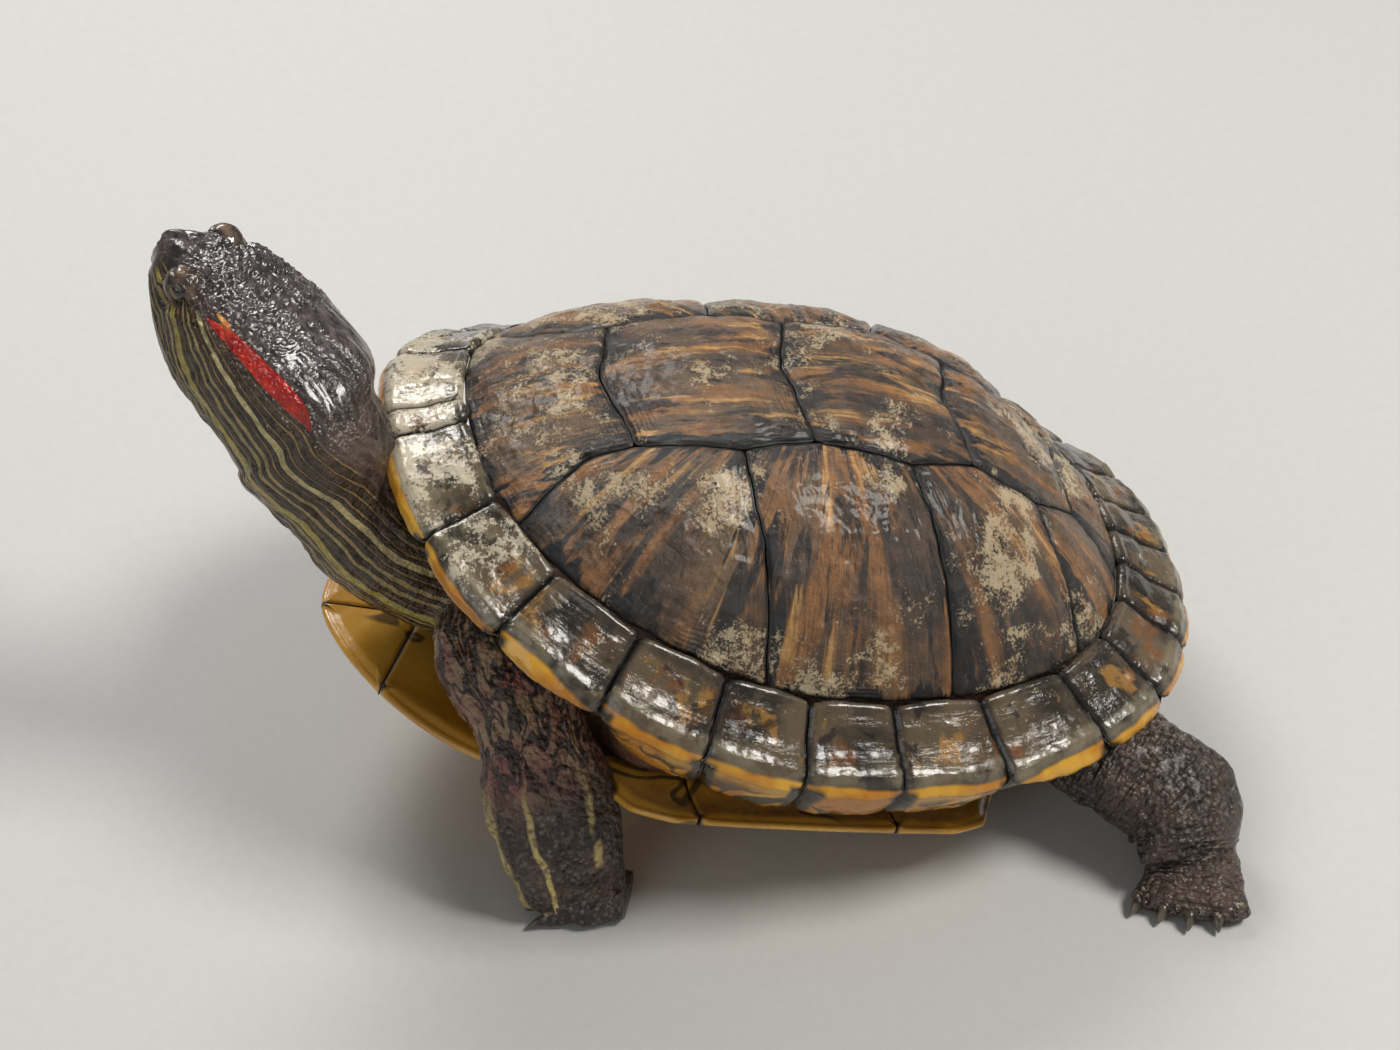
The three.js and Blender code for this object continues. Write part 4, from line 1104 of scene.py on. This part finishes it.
def readLayer(mesh, name, width):
    values = np.empty(len(mesh.vertices) * width)
    mesh.attributes[name].data.foreach_get("vector" if width == 3 else "value", values)
    return values.reshape(-1, width)


def settleCreases(mesh, sources):
    # gives the joined skin its layers back and rounds the creases where its parts meet
    spots = np.vstack([coordinates(source) for source in sources])
    tree = treeOf(spots, range(len(spots)))
    skinSpots = coordinates(mesh)
    found = [tree.find(spot) for spot in skinSpots]
    nearest = np.array([item[1] for item in found])
    distance = np.array([item[2] for item in found])
    creases = treeOf(skinSpots, np.where(distance > 0.002 * mm)[0])
    away = np.array([creases.find(spot)[2] for spot in skinSpots]) / mm
    share = 1 - smooth(joining["radius"] * 0.35, joining["radius"], away)
    edges = np.empty(len(mesh.edges) * 2, int)
    mesh.edges.foreach_get("vertices", edges)
    edges = edges.reshape(-1, 2)
    degree = np.bincount(edges.ravel(), minlength=len(skinSpots))[:, None]

    def relax(values, rounds):  # each point moves towards the mean of its neighbours
        for _ in range(rounds):
            total = np.zeros_like(values)
            for k in range(values.shape[1]):
                total[:, k] = (np.bincount(edges[:, 0], values[edges[:, 1], k], len(values))
                               + np.bincount(edges[:, 1], values[edges[:, 0], k], len(values)))
            values = lerp(values, total / degree, joining["strength"] * share[:, None])
        return values

    mesh.vertices.foreach_set("co", relax(skinSpots, joining["shapeRounds"]).ravel())
    for name, width in skinLayers.items():
        values = np.vstack([readLayer(source, name, width) for source in sources])[nearest]
        values = relax(values, joining["layerRounds"]) if name in ("region", "relief") else values
        addLayer(mesh, name, values if width > 1 else values[:, 0])


def dropDoubleFaces(mesh):
    # clears slivers that a join leaves: faces too thin to keep, and pairs that lie face to face
    work = bmesh.new()
    work.from_mesh(mesh)
    bmesh.ops.remove_doubles(work, verts=work.verts, dist=0.001 * mm)
    bmesh.ops.dissolve_degenerate(work, edges=work.edges, dist=0.001 * mm)
    bmesh.ops.triangulate(work, faces=work.faces)
    sameCorners = {}
    for face in work.faces:
        sameCorners.setdefault(frozenset(face.verts), []).append(face)
    double = [face for group in sameCorners.values() if len(group) > 1 for face in group]
    bmesh.ops.delete(work, geom=double, context="FACES")
    work.to_mesh(mesh)
    work.free()


def buildSkin():
    neck = wrapGrid("headAndNeck", head["columns"], head["headRows"] + head["neckRows"] + 1, headAndNeck,
                    skinLayers)
    limbs = {"ForeLeft": foreleg, "ForeRight": mirroredLimb(restepped(foreleg, 4, -8, 8)),
             "HindLeft": hindLeg, "HindRight": mirroredLimb(restepped(hindLeg, -2, -22, -40))}
    pieces = [neck, limbSweep("tailPart", tail, 48, 60, 1.0)]
    for name, limb in limbs.items():
        pieces.append(limbSweep("leg" + name, limb, limbGrid["columns"], limbGrid["rows"]))
        pieces += footPieces("foot" + name, limb)
    sources = [piece.data for piece in pieces]
    body = trunkBody()
    sources.append(body.data)
    skin = unite(body, pieces)
    skin.name = "skin"
    settleCreases(skin.data, sources)
    spots = coordinates(skin.data)
    spots[:, 2] = np.maximum(spots[:, 2], 0)
    skin.data.vertices.foreach_set("co", spots.ravel())
    dropDoubleFaces(skin.data)
    skin.data.shade_smooth()
    skin.data.update()
    print("skin:", len(skin.data.vertices), "points")
    return skin, limbs


def eyeball(name, side):
    centre, gaze, across, top = eyeFrame(side)

    def place(u, v):
        turn = u * 2 * math.pi
        tilt = v * math.pi
        bulge = 0.35 * hump(tilt, 0.62)
        size = eye["radius"] + bulge
        ring = np.sin(tilt)[:, None, None] * (np.cos(turn)[None, :, None] * across
                                              + np.sin(turn)[None, :, None] * top)
        local = centre + size[:, None, None] * (ring + np.cos(tilt)[:, None, None] * gaze)
        local[:, -1] = local[:, 0]
        dark = np.broadcast_to(tilt[:, None], local.shape[:2])
        bar = np.sin(tilt)[:, None] * np.sin(turn)[None]
        return onHead(local) + standing, {"irisTilt": dark, "irisBar": bar}

    return wrapGrid(name, 72, 48, place, ("irisTilt", "irisBar"))


domeLook = {
    "dry": 0.33, "wet": 0.11, "spread": 0.17, "bump": 0.85, "bumpDepth": 0.0006, "grain": 1300.0,
    "siltLimit": 0.95,
    "shade": (0.046, 0.030, 0.020), "brown": (0.165, 0.102, 0.055), "rust": (0.33, 0.145, 0.045),
    "honey": (0.62, 0.34, 0.105), "black": (0.010, 0.009, 0.009), "pits": (0.012, 0.009, 0.008),
    "silt": (0.58, 0.46, 0.29), "seam": (0.006, 0.006, 0.006)}


def carapaceHorn():
    look = domeLook
    horn = Surface("carapaceHorn", **{"Coat Weight": 0.15, "Coat Roughness": 0.08})
    where, grain = horn.where, horn.layer("grain", "Vector")
    seam, worn = horn.layer("seam"), horn.layer("worn")
    streak = grain.stretched(0.012, 0.07, 1.0)
    broad, fine = where.noise(26, 3, 0.6), where.noise(230, 4, 0.7)
    colour = broad.ranged(0.38, 0.62).between(look["shade"], look["brown"])
    rust = (streak.noise(1.6, 4, 0.6, 0.5) + fine * 0.14).ranged(0.50, 0.66)
    colour = colour.painted(rust * 0.85, look["rust"])
    patch = where.noise(30, 2).ranged(0.46, 0.58)
    glow = grain.stretched(0.03, 0.26, 1.0).noise(1.2, 3, 0.6, 0.4).ranged(0.54, 0.66)
    colour = colour.painted(glow * patch * 0.9, look["honey"])
    clouds = grain.stretched(0.02, 0.09, 1.0).noise(1.9, 5, 0.65, 0.6).ranged(0.53, 0.61)
    bars = (streak.noise(3.1, 4, 0.6) + seam.ranged(0.0, 8.0, 0.16, -0.02)).ranged(0.59, 0.66)
    colour = colour.painted(clouds * 0.85 | bars, look["black"])
    colour = colour.painted(fine.ranged(0.35, 0.75, 0.35, 0.0), look["pits"])
    mask = (worn * 0.75 + where.noise(35, 3).ranged(0.42, 0.64, 0.0, 0.85)).math("MINIMUM", look["siltLimit"])
    speckle = horn.speckle(mask, look["grain"])
    colour = colour.painted(speckle * 0.75, look["silt"])
    colour = colour.painted(seam.ranged(0.15, 0.9, 1.0, 0.0), look["seam"])
    horn.wetted(look["dry"], look["wet"], look["spread"])
    ridges = grain.stretched(0.10, 1.3, 1.0).noise(1.0, 3, 0.6)
    wave = ((seam + broad * 6.0) * 5.2).math("SINE")
    rings = wave * patch * seam.ranged(1.0, 14.0, 0.16, 0.0)
    height = ridges * 0.8 + where.noise(520, 5, 0.75) * 1.3 + rings + speckle * 0.35
    horn.bumped(height, look["bump"], look["bumpDepth"])
    return horn.coloured(colour)


# the keel colour is a painted highlight: a pale band along the raised keel of each marginal
rimLook = {
    "dry": 0.34, "wet": 0.10, "spread": 0.10, "bump": 0.6, "bumpDepth": 0.0005, "grain": 1000.0,
    "yellowFrom": (0.86, 0.91), "shade": (0.034, 0.026, 0.018), "brown": (0.125, 0.092, 0.056),
    "olive": (0.185, 0.155, 0.10), "bars": (0.40, 0.205, 0.045), "rust": (0.20, 0.075, 0.022),
    "black": (0.012, 0.010, 0.010), "keel": (0.27, 0.235, 0.15), "amber": (0.50, 0.19, 0.010),
    "yellow": (0.66, 0.35, 0.035), "rings": (0.035, 0.028, 0.012), "silt": (0.62, 0.55, 0.41),
    "seam": (0.008, 0.007, 0.006)}


def rimHorn():
    look = rimLook
    horn = Surface("rimHorn", **{"Coat Weight": 0.35, "Coat Roughness": 0.05})
    where, grain = horn.where, horn.layer("grain", "Vector")
    seam, place, worn = horn.layer("seam"), horn.layer("rimPlace"), horn.layer("worn")
    broad = where.noise(48, 4, 0.6)
    colour = broad.ranged(0.36, 0.64).between(look["shade"], look["brown"])
    colour = colour.painted(worn * where.noise(75, 3).ranged(0.44, 0.62) * 0.7, look["olive"])
    middle = place.ranged(0.12, 0.26) * place.ranged(0.72, 0.60)
    bars = grain.stretched(0.13, 0.06, 1.0).noise(1.0, 4, 0.6, 0.3)
    colour = colour.painted(bars.ranged(0.56, 0.63) * middle * 0.65, look["bars"])
    rust = where.noise(85, 3, 0.6, 0.5).ranged(0.54, 0.64)
    colour = colour.painted(rust * middle * 0.7, look["rust"])
    dark = where.noise(78, 4, 0.6, 0.8).ranged(0.53, 0.60)
    blotch = (seam + broad * 5.0).ranged(3.2, 5.4, 1.0, 0.0)
    colour = colour.painted(dark * 0.75 | blotch * 0.8, look["black"])
    # painted highlight: pale along the raised keel, where the marginal catches the light
    keel = place.near(0.76, 0.05, 0.1) * where.noise(150, 3).ranged(0.38, 0.6)
    colour = colour.painted(keel * 0.5, look["keel"])
    # below the lip the horn is yellow, with dark rings and blotches beside the seams
    below = (place + where.swaying(60, 0.18)).ranged(*look["yellowFrom"])
    yellow = where.noise(60, 3).ranged(0.4, 0.62).between(look["amber"], look["yellow"])
    ringNoise = where.noise(62, 1, 0.4, 0.6)
    rings = abs(ringNoise - 0.5).ranged(0.018, 0.034, 1.0, 0.0)
    marks = (rings * 0.85 | ringNoise.ranged(0.60, 0.66)) * place.ranged(1.06, 1.26)
    seamBlot = (seam + where.noise(75, 2) * 7.0).ranged(5.8, 7.6, 1.0, 0.0) * place.ranged(0.88, 0.98)
    colour = colour.painted(below, yellow.painted(marks | seamBlot, look["rings"]))
    wornSpots = worn * where.noise(46, 2).ranged(0.38, 0.56, 0.15, 1.2)
    mask = wornSpots + where.noise(34, 2).ranged(0.52, 0.74, 0.0, 0.5)
    speckle = horn.speckle(mask, look["grain"]) * place.ranged(0.90, 0.82, 0.0, 0.75)
    colour = colour.painted(speckle, look["silt"])
    colour = colour.painted(seam.ranged(0.12, 0.7, 1.0, 0.0), look["seam"])
    horn.wetted(look["dry"], look["wet"], look["spread"])
    lines = grain.stretched(0.16, 0.9, 1.0).noise(1.0, 3, 0.6)
    horn.bumped(lines * 0.7 + where.noise(520, 4, 0.7) * 0.9, look["bump"], look["bumpDepth"])
    return horn.coloured(colour)


plastronLook = {
    "dry": 0.4, "wet": 0.2, "spread": 0.0, "bump": 0.3, "bumpDepth": 0.0005, "amber": (0.54, 0.24, 0.016),
    "yellow": (0.74, 0.39, 0.05), "stain": (0.32, 0.13, 0.03), "rings": (0.045, 0.035, 0.018),
    "seam": (0.05, 0.022, 0.008)}


def plastronHorn():
    look = plastronLook
    horn = Surface("plastronHorn", **{"Coat Weight": 0.5, "Coat Roughness": 0.12})
    where, seam, openEdge = horn.where, horn.layer("seam"), horn.layer("openEdge")
    colour = where.noise(30, 3, 0.5).ranged(0.35, 0.65).between(look["amber"], look["yellow"])
    stain = where.noise(55, 4, 0.6, 0.5).ranged(0.56, 0.70)
    colour = colour.painted(stain * 0.55, look["stain"])
    ringNoise = where.noise(38, 1, 0.4, 0.8)
    blot = ringNoise.ranged(0.61, 0.64) * ringNoise.ranged(0.66, 0.69, 1.0, 0.35) * openEdge.ranged(0.6, 0.1)
    ahead, aside, _ = horn.layer("grain", "Vector").parts()
    atBridge = abs(aside).ranged(46.0, 54.0) * abs(ahead).ranged(60.0, 50.0)
    rings = abs(ringNoise - 0.5).ranged(0.016, 0.034, 1.0, 0.0)
    rings = (rings | ringNoise.ranged(0.57, 0.61)) * atBridge
    colour = colour.painted((blot | rings) * 0.85, look["rings"])
    line = (seam - openEdge * 3.0).ranged(0.02, 0.34, 1.0, 0.0)
    colour = colour.painted(line * openEdge.ranged(0.75, 0.2), look["seam"])
    horn.wetted(look["dry"], look["wet"], look["spread"])
    horn.bumped(where.noise(380, 4, 0.6) + where.noise(90, 2) * 0.8, look["bump"], look["bumpDepth"])
    return horn.coloured(colour)


skinLook = {
    "dry": 0.44, "wet": 0.17, "bump": 0.9, "bumpDepth": 0.0007,
    "shade": (0.024, 0.015, 0.011), "brown": (0.088, 0.056, 0.043),
    "pink": (0.25, 0.09, 0.07), "buff": (0.34, 0.225, 0.125), "marbling": (0.016, 0.010, 0.008),
    "crownDark": (0.022, 0.018, 0.019), "crownGrey": (0.120, 0.098, 0.100),
    "sideDark": (0.022, 0.014, 0.008), "sideBrown": (0.085, 0.055, 0.028), "outline": (0.009, 0.006, 0.004),
    "stripeDull": (0.23, 0.14, 0.052), "stripePale": (0.42, 0.315, 0.125), "stripeMain": (0.56, 0.46, 0.21),
    "stripeChin": (0.47, 0.375, 0.08), "stripeGrime": (0.10, 0.07, 0.035), "temple": (0.26, 0.22, 0.20),
    "redEdge": (0.012, 0.007, 0.006), "redDeep": (0.33, 0.008, 0.005), "red": (0.53, 0.022, 0.008),
    "redFork": (0.60, 0.30, 0.07), "redEnd": (0.16, 0.03, 0.012),
    "lidDark": (0.038, 0.023, 0.017), "lidBronze": (0.19, 0.125, 0.085),
    # the groove colour is painted shade, near black in the grooves between the limbs' scales
    "legStreak": (0.20, 0.135, 0.085), "legStripe": (0.60, 0.46, 0.17), "grooveShade": (0.010, 0.007, 0.006),
    "fleck": (0.185, 0.145, 0.120), "toe": (0.42, 0.40, 0.27), "mainStripe": 0.0, "chinStripe": 5.0}


def wetSkin():
    look = skinLook
    skin = Surface("wetSkin", **{"Coat Roughness": 0.12, "Specular IOR Level": 0.5})
    where, fleshPlace = skin.where, skin.layer("fleshPlace", "Vector")
    parts, marks = [skin.layer(name, "Vector").parts() for name in ("region", "headMarks")]
    flesh = fleshPlace.parts()
    relief, lid = skin.layer("relief"), skin.layer("lid")
    grime = where.noise(420, 4, 0.7)
    colour = where.noise(60, 3, 0.6).ranged(0.38, 0.64).between(look["shade"], look["brown"])
    headMask, foreMask, hindMask = [part.ranged(0.35, 0.6) for part in parts]
    # pinkish folds round the sockets, marbled with dark streaks that run on down the shoulder
    socket = (parts[0] | (parts[1] | parts[2])).ranged(0.95, 0.35)
    shoulder = foreMask * marks[1] * flesh[2].ranged(62.0, 46.0)
    shoulder = shoulder | headMask * flesh[1].ranged(86.0, 100.0)
    pink = where.noise(90, 3).ranged(0.38, 0.62).between(look["pink"], look["buff"])
    colour = colour.painted(shoulder * 0.9 | socket * 0.75, pink)
    netPlace = headMask.between(fleshPlace.stretched(3.4, 3.4, 0.13), fleshPlace.stretched(15.0, 0.13, 1.0))
    net = abs(netPlace.noise(1.0, 2, 0.5, 0.8) - 0.5).ranged(0.078, 0.042)
    colour = colour.painted(net * shoulder * 0.9, look["marbling"])
    # head: grey crown, brown side
    around, back = flesh[:2]
    crown = around.ranged(0.27, 0.15) * headMask * back.ranged(58.0, 44.0)
    grey = grime.ranged(0.38, 0.66).between(look["crownDark"], look["crownGrey"])
    colour = colour.painted(crown * 0.85, grey)
    striped = marks[1] * headMask
    brown = grime.ranged(0.36, 0.64).between(look["sideDark"], look["sideBrown"])
    colour = colour.painted(striped * 0.9, brown)
    # stripes: each whole number of the phase is the middle of one
    phase = marks[0] + where.swaying(70, 0.9)
    index = phase.math("ROUND")
    chance = node(skin.tree, "TexWhiteNoise", {"W": index}, noise_dimensions="1D")
    main, chin = [node(skin.tree, "Math", {0: index, 1: look[name], 2: 0.1}, operation="COMPARE")
                  for name in ("mainStripe", "chinStripe")]
    half = chance.ranged(0.0, 1.0, 0.08, 0.22) + where.swaying(55, 0.34) + (main * 0.16 + chin * 0.30)
    outside = abs(phase - index) - half
    line, outline = outside.ranged(0.045, -0.045), outside.ranged(0.17, 0.06)
    colour = colour.painted(outline * striped * 0.8, look["outline"])
    cream = chance.between(look["stripeDull"], look["stripePale"])
    cream = cream.painted(main, look["stripeMain"]).painted(chin, look["stripeChin"])
    cream = cream.painted(grime.ranged(0.3, 0.6, 0.5, 0.0), look["stripeGrime"])
    colour = colour.painted(line * striped * 0.92, cream)
    temple = (1.0 - striped) * headMask * back.ranged(26.0, 34.0)
    colour = colour.painted(line * temple * 0.16, look["temple"])
    # the red patch behind the eye, yellow at its upper front
    redField = marks[2] + where.swaying(170, 0.30, 3)
    colour = colour.painted(redField.ranged(-0.30, -0.05) * (headMask * 0.6), look["redEdge"])
    red = redField.ranged(-0.02, 0.10) * headMask
    redColour = where.noise(200, 3).ranged(0.36, 0.64).between(look["redDeep"], look["red"])
    redColour = redColour.painted(back.ranged(29.5, 24.0) * around.ranged(0.258, 0.232), look["redFork"])
    redColour = redColour.painted(back.ranged(44.0, 56.0, 0.0, 0.6), look["redEnd"])
    colour = colour.painted(red, redColour)
    bronze = where.noise(240, 3).ranged(0.42, 0.70).between(look["lidDark"], look["lidBronze"])
    colour = colour.painted(lid * 0.9, bronze)
    # foreleg: a yellow front edge, two narrower broken stripes and fine streaks between
    legShare = foreMask * marks[1]
    across = flesh[0] + where.swaying(70, 0.30)
    front = across.near(-0.97, 0.035, 0.06)
    second = across.near(-0.42, 0.022, 0.045) * where.noise(110, 2).ranged(0.34, 0.46)
    third = across.near(0.44, 0.03, 0.06) * where.noise(90, 2).ranged(0.42, 0.52)
    below = legShare - shoulder
    streaks = fleshPlace.stretched(1.0, 1.0, 0.035).noise(9.0, 3).ranged(0.54, 0.66)
    colour = colour.painted(streaks * (below * 0.4), look["legStreak"])
    colour = colour.painted((front | (second | third)) * below * 0.92, look["legStripe"])
    # scales of the limbs, with painted shade in the grooves between them and pale flecks, and a pale streak
    # on each toe
    limbs = foreMask | hindMask
    # painted shade in the grooves between scales, weaker on the shoulder
    grooveShade = relief.ranged(0.60, 0.05) * limbs * shoulder.ranged(0.2, 1.0, 0.7, 0.2)
    colour = colour.painted(grooveShade, look["grooveShade"])
    scaleCells = where.cells(560)
    fleck = scaleCells.ranged(0.50, 0.10) * (limbs - shoulder)
    colour = colour.painted(fleck * where.noise(90, 3).ranged(0.35, 0.6, 0.2, 0.8), look["fleck"])
    toe = marks[0].ranged(0.0, 0.8) * limbs * across.near(0.05, 0.16, 0.1)
    colour = colour.painted(toe * where.noise(130, 2).ranged(0.40, 0.50) * 0.8, look["toe"])
    skin.wetted(look["dry"], look["wet"], crown.ranged(0.0, 1.0, 0.03, 0.30))
    sheen = headMask * (1.0 - striped) - red
    feed(skin.shader.inputs["Coat Weight"], sheen.ranged(0.0, 1.0, 0.10, 0.65))
    # pores and beads, calmer on the crown and the lids, coarse grains and folds on the limbs
    height = (where.noise(650, 4, 0.65) * 0.6 - where.cells(1100) * 0.5) * crown.ranged(0.0, 1.0, 1.0, 0.35)
    height = (height - where.cells(520) * 0.5) * lid.ranged(0.3, 1.0, 1.0, 0.45) - scaleCells * limbs * 1.4
    folds = fleshPlace.stretched(0.8, 0.8, 0.42).swaying(1.0, 6.0) * (hindMask * (1.0 - shoulder))
    skin.bumped(height + folds - outline * striped * 0.12, look["bump"], look["bumpDepth"])
    return skin.coloured(colour)


eyeLook = {"gold": (0.42, 0.30, 0.07), "brown": (0.16, 0.10, 0.02), "bar": (0.012, 0.010, 0.008),
           "pupil": (0.003, 0.003, 0.003), "edge": (0.020, 0.014, 0.010), "pupilEdge": (0.30, 0.36)}


def wetEye():
    look = eyeLook
    ball = Surface("wetEye", **{"Coat Weight": 1.0, "Coat Roughness": 0.02, "Roughness": 0.08})
    tilt, bar = ball.layer("irisTilt"), ball.layer("irisBar")
    iris = ball.where.noise(1500, 3, 0.7).ranged(0.4, 0.65).between(look["brown"], look["gold"])
    iris = iris.painted(abs(bar).ranged(0.14, 0.22, 1.0, 0.0) * 0.9, look["bar"])
    colour = tilt.ranged(*look["pupilEdge"]).between(look["pupil"], iris)
    return ball.coloured(colour.painted(tilt.ranged(0.80, 0.92), look["edge"]))


clawLook = {"dark": (0.018, 0.014, 0.012), "brown": (0.10, 0.075, 0.05), "tip": (0.19, 0.15, 0.105)}


def clawHorn():
    look = clawLook
    horn = Surface("clawHorn", **{"Coat Weight": 0.3, "Coat Roughness": 0.2, "Roughness": 0.35})
    streaks = horn.where.noise(500, 3, 0.6)
    colour = streaks.ranged(0.4, 0.65).between(look["dark"], look["brown"])
    horn.bumped(streaks, 0.3, 0.0003)
    return horn.coloured(colour.painted(horn.layer("clawRun").ranged(0.55, 1.0, 0.0, 0.6), look["tip"]))


floorLook = {"size": 6.0, "below": 0.0002, "dull": (0.52, 0.515, 0.50), "light": (0.57, 0.565, 0.55)}


def paleFloor():
    look = floorLook
    ground = Surface("paleFloor", Roughness=0.6)
    return ground.coloured(ground.where.noise(300, 3).between(look["dull"], look["light"]))


# each piece's seed sets its own flakes and streaks
seeds = {"vertebral": 100, "costal": {"left": 110, "right": 117}, "nuchal": 130,
         "marginal": {"left": 131, "right": 146}, "plastron": {"left": 170, "right": 179}}


def buildDome():
    horn = carapaceHorn()
    for i in range(5):
        piece = domeScute("scuteVertebral" + str(i + 1), vertebralOutline(i), True, seeds["vertebral"] + i)
        finishPiece(piece, horn, ["vertebral_" + str(i + 1)])
    for i in range(4):
        for side, seed in seeds["costal"].items():
            corners = costalOutline(i) if side == "left" else mirrored(costalOutline(i))
            piece = domeScute("scuteCostal" + side.title() + str(i + 1), corners, False, seed + i)
            finishPiece(piece, horn, ["costal_" + side + "_" + str(i + 1)])
    print("dome scutes built")


def buildRim():
    horn = rimHorn()
    nuchal = marginalScute("scuteNuchal", -marginalAngles[0], marginalAngles[0], seeds["nuchal"])
    finishPiece(nuchal, horn, ["nuchal"])
    for i in range(12):
        for side, seed in seeds["marginal"].items():
            start, end = sorted(sides[side] * marginalAngles[i:i + 2])
            piece = marginalScute("scuteMarginal" + side.title() + str(i + 1), start, end, seed + i)
            finishPiece(piece, horn, ["marginal_" + side + "_" + str(i + 1)])
    print("rim built")


def buildPlastron():
    horn = plastronHorn()
    for i, (plate, (front, rear)) in enumerate(plastronPlates.items()):
        halves = [halfPlate(plate + side.title(), front, rear, sides[side], seed + i)
                  for side, seed in seeds["plastron"].items()]
        for part in halves:
            closeUp(part.data)
        pair = joinPieces("plastronPlates" + plate.title(), halves)
        finishPiece(pair, horn, ["plastron_" + plate])
    print("plastron built")


def buildFlesh():
    skin, limbs = buildSkin()
    nodes = ["trunk", "head", "neck", "tail"]
    nodes += ["foreleg_" + side + "_" + part for side in sides for part in ("arm", "foot")]
    nodes += ["hindleg_" + side + "_" + part for side in sides for part in ("thigh", "foot")]
    finishPiece(skin, wetSkin(), nodes)
    horn = clawHorn()
    for name, limb in limbs.items():
        finishPiece(footClaws("claws" + name, limb), horn, [])
    ball = wetEye()
    for side, sign in sides.items():
        finishPiece(eyeball("eyeball" + side.title(), sign), ball, ["eye_" + side])
    print("skin, claws and eyes built")


buildDome()
buildRim()
buildPlastron()
buildFlesh()

work = bmesh.new()
bmesh.ops.create_grid(work, x_segments=1, y_segments=1, size=floorLook["size"] / 2)
bmesh.ops.translate(work, verts=work.verts, vec=(0, 0, -floorLook["below"]))
floor = bpy.data.objects.new("floor", newMesh("floor", work))
bpy.context.scene.collection.objects.link(floor)
floor.data.materials.append(paleFloor())

studio = {  # each lamp: place, aim, size, energy and colour
    "keyLight": ((0.25, 0.75, 1.15), (0, 0, 0.07), (0.5, 0.35), 15, (1.0, 0.97, 0.92)),
    "backLight": ((-0.9, -0.25, 0.9), (0, 0, 0.07), (0.6, 0.4), 10, (1.0, 0.98, 0.95)),
    "fillLight": ((0.9, -0.9, 0.6), (0, 0, 0.05), (0.9, 0.7), 2.8, (0.95, 0.98, 1.0))}
skyLight = {"colour": (0.86, 0.88, 0.9, 1), "strength": 0.19}


def areaLight(name, spot, target, size, energy, colour):
    lamp = bpy.data.lights.new(name, "AREA")
    lamp.shape = "RECTANGLE"
    lamp.size, lamp.size_y = size
    lamp.energy = energy
    lamp.color = colour
    holder = bpy.data.objects.new(name, lamp)
    bpy.context.scene.collection.objects.link(holder)
    holder.location = spot
    holder.rotation_euler = (Vector(target) - Vector(spot)).to_track_quat("-Z", "Y").to_euler()


for name, lamp in studio.items():
    areaLight(name, *lamp)
world = bpy.data.worlds.new("studioWorld")
world.use_nodes = True
world.node_tree.nodes["Background"].inputs["Color"].default_value = skyLight["colour"]
world.node_tree.nodes["Background"].inputs["Strength"].default_value = skyLight["strength"]
bpy.context.scene.world = world

# the shell's middle stands at shellAt, in pixels of a picture of this width and height
view = {"lens": 85, "sensor": 36, "turn": math.radians(11.6), "raise": math.radians(41.6),
        "roll": math.radians(2.4), "distance": 869, "shellAt": (774, 567.5), "width": 1400, "height": 1050}
flat = math.cos(view["raise"])
away = Vector((math.cos(view["turn"]) * flat, -math.sin(view["turn"]) * flat, math.sin(view["raise"])))
level = Vector((0, 0, 1)).cross(away).normalized()
rise = away.cross(level)
right = math.cos(view["roll"]) * level + math.sin(view["roll"]) * rise
up = math.cos(view["roll"]) * rise - math.sin(view["roll"]) * level
cameraData = bpy.data.cameras.new("camera")
cameraData.lens = view["lens"]
cameraData.sensor_width = view["sensor"]
cameraData.clip_start = 0.01
cameraData.dof.use_dof = False
camera = bpy.data.objects.new("camera", cameraData)
bpy.context.scene.collection.objects.link(camera)
camera.matrix_world = Matrix((right, up, away)).transposed().to_4x4()
camera.location = (Vector((*shell["standAt"], rimLift)) + away * view["distance"]) * mm
cameraData.shift_x = -(view["shellAt"][0] - view["width"] / 2) / view["width"]
cameraData.shift_y = (view["shellAt"][1] - view["height"] / 2) / view["width"]
bpy.context.scene.camera = camera
bpy.context.scene.view_settings.view_transform = "Standard"
print("stage set")
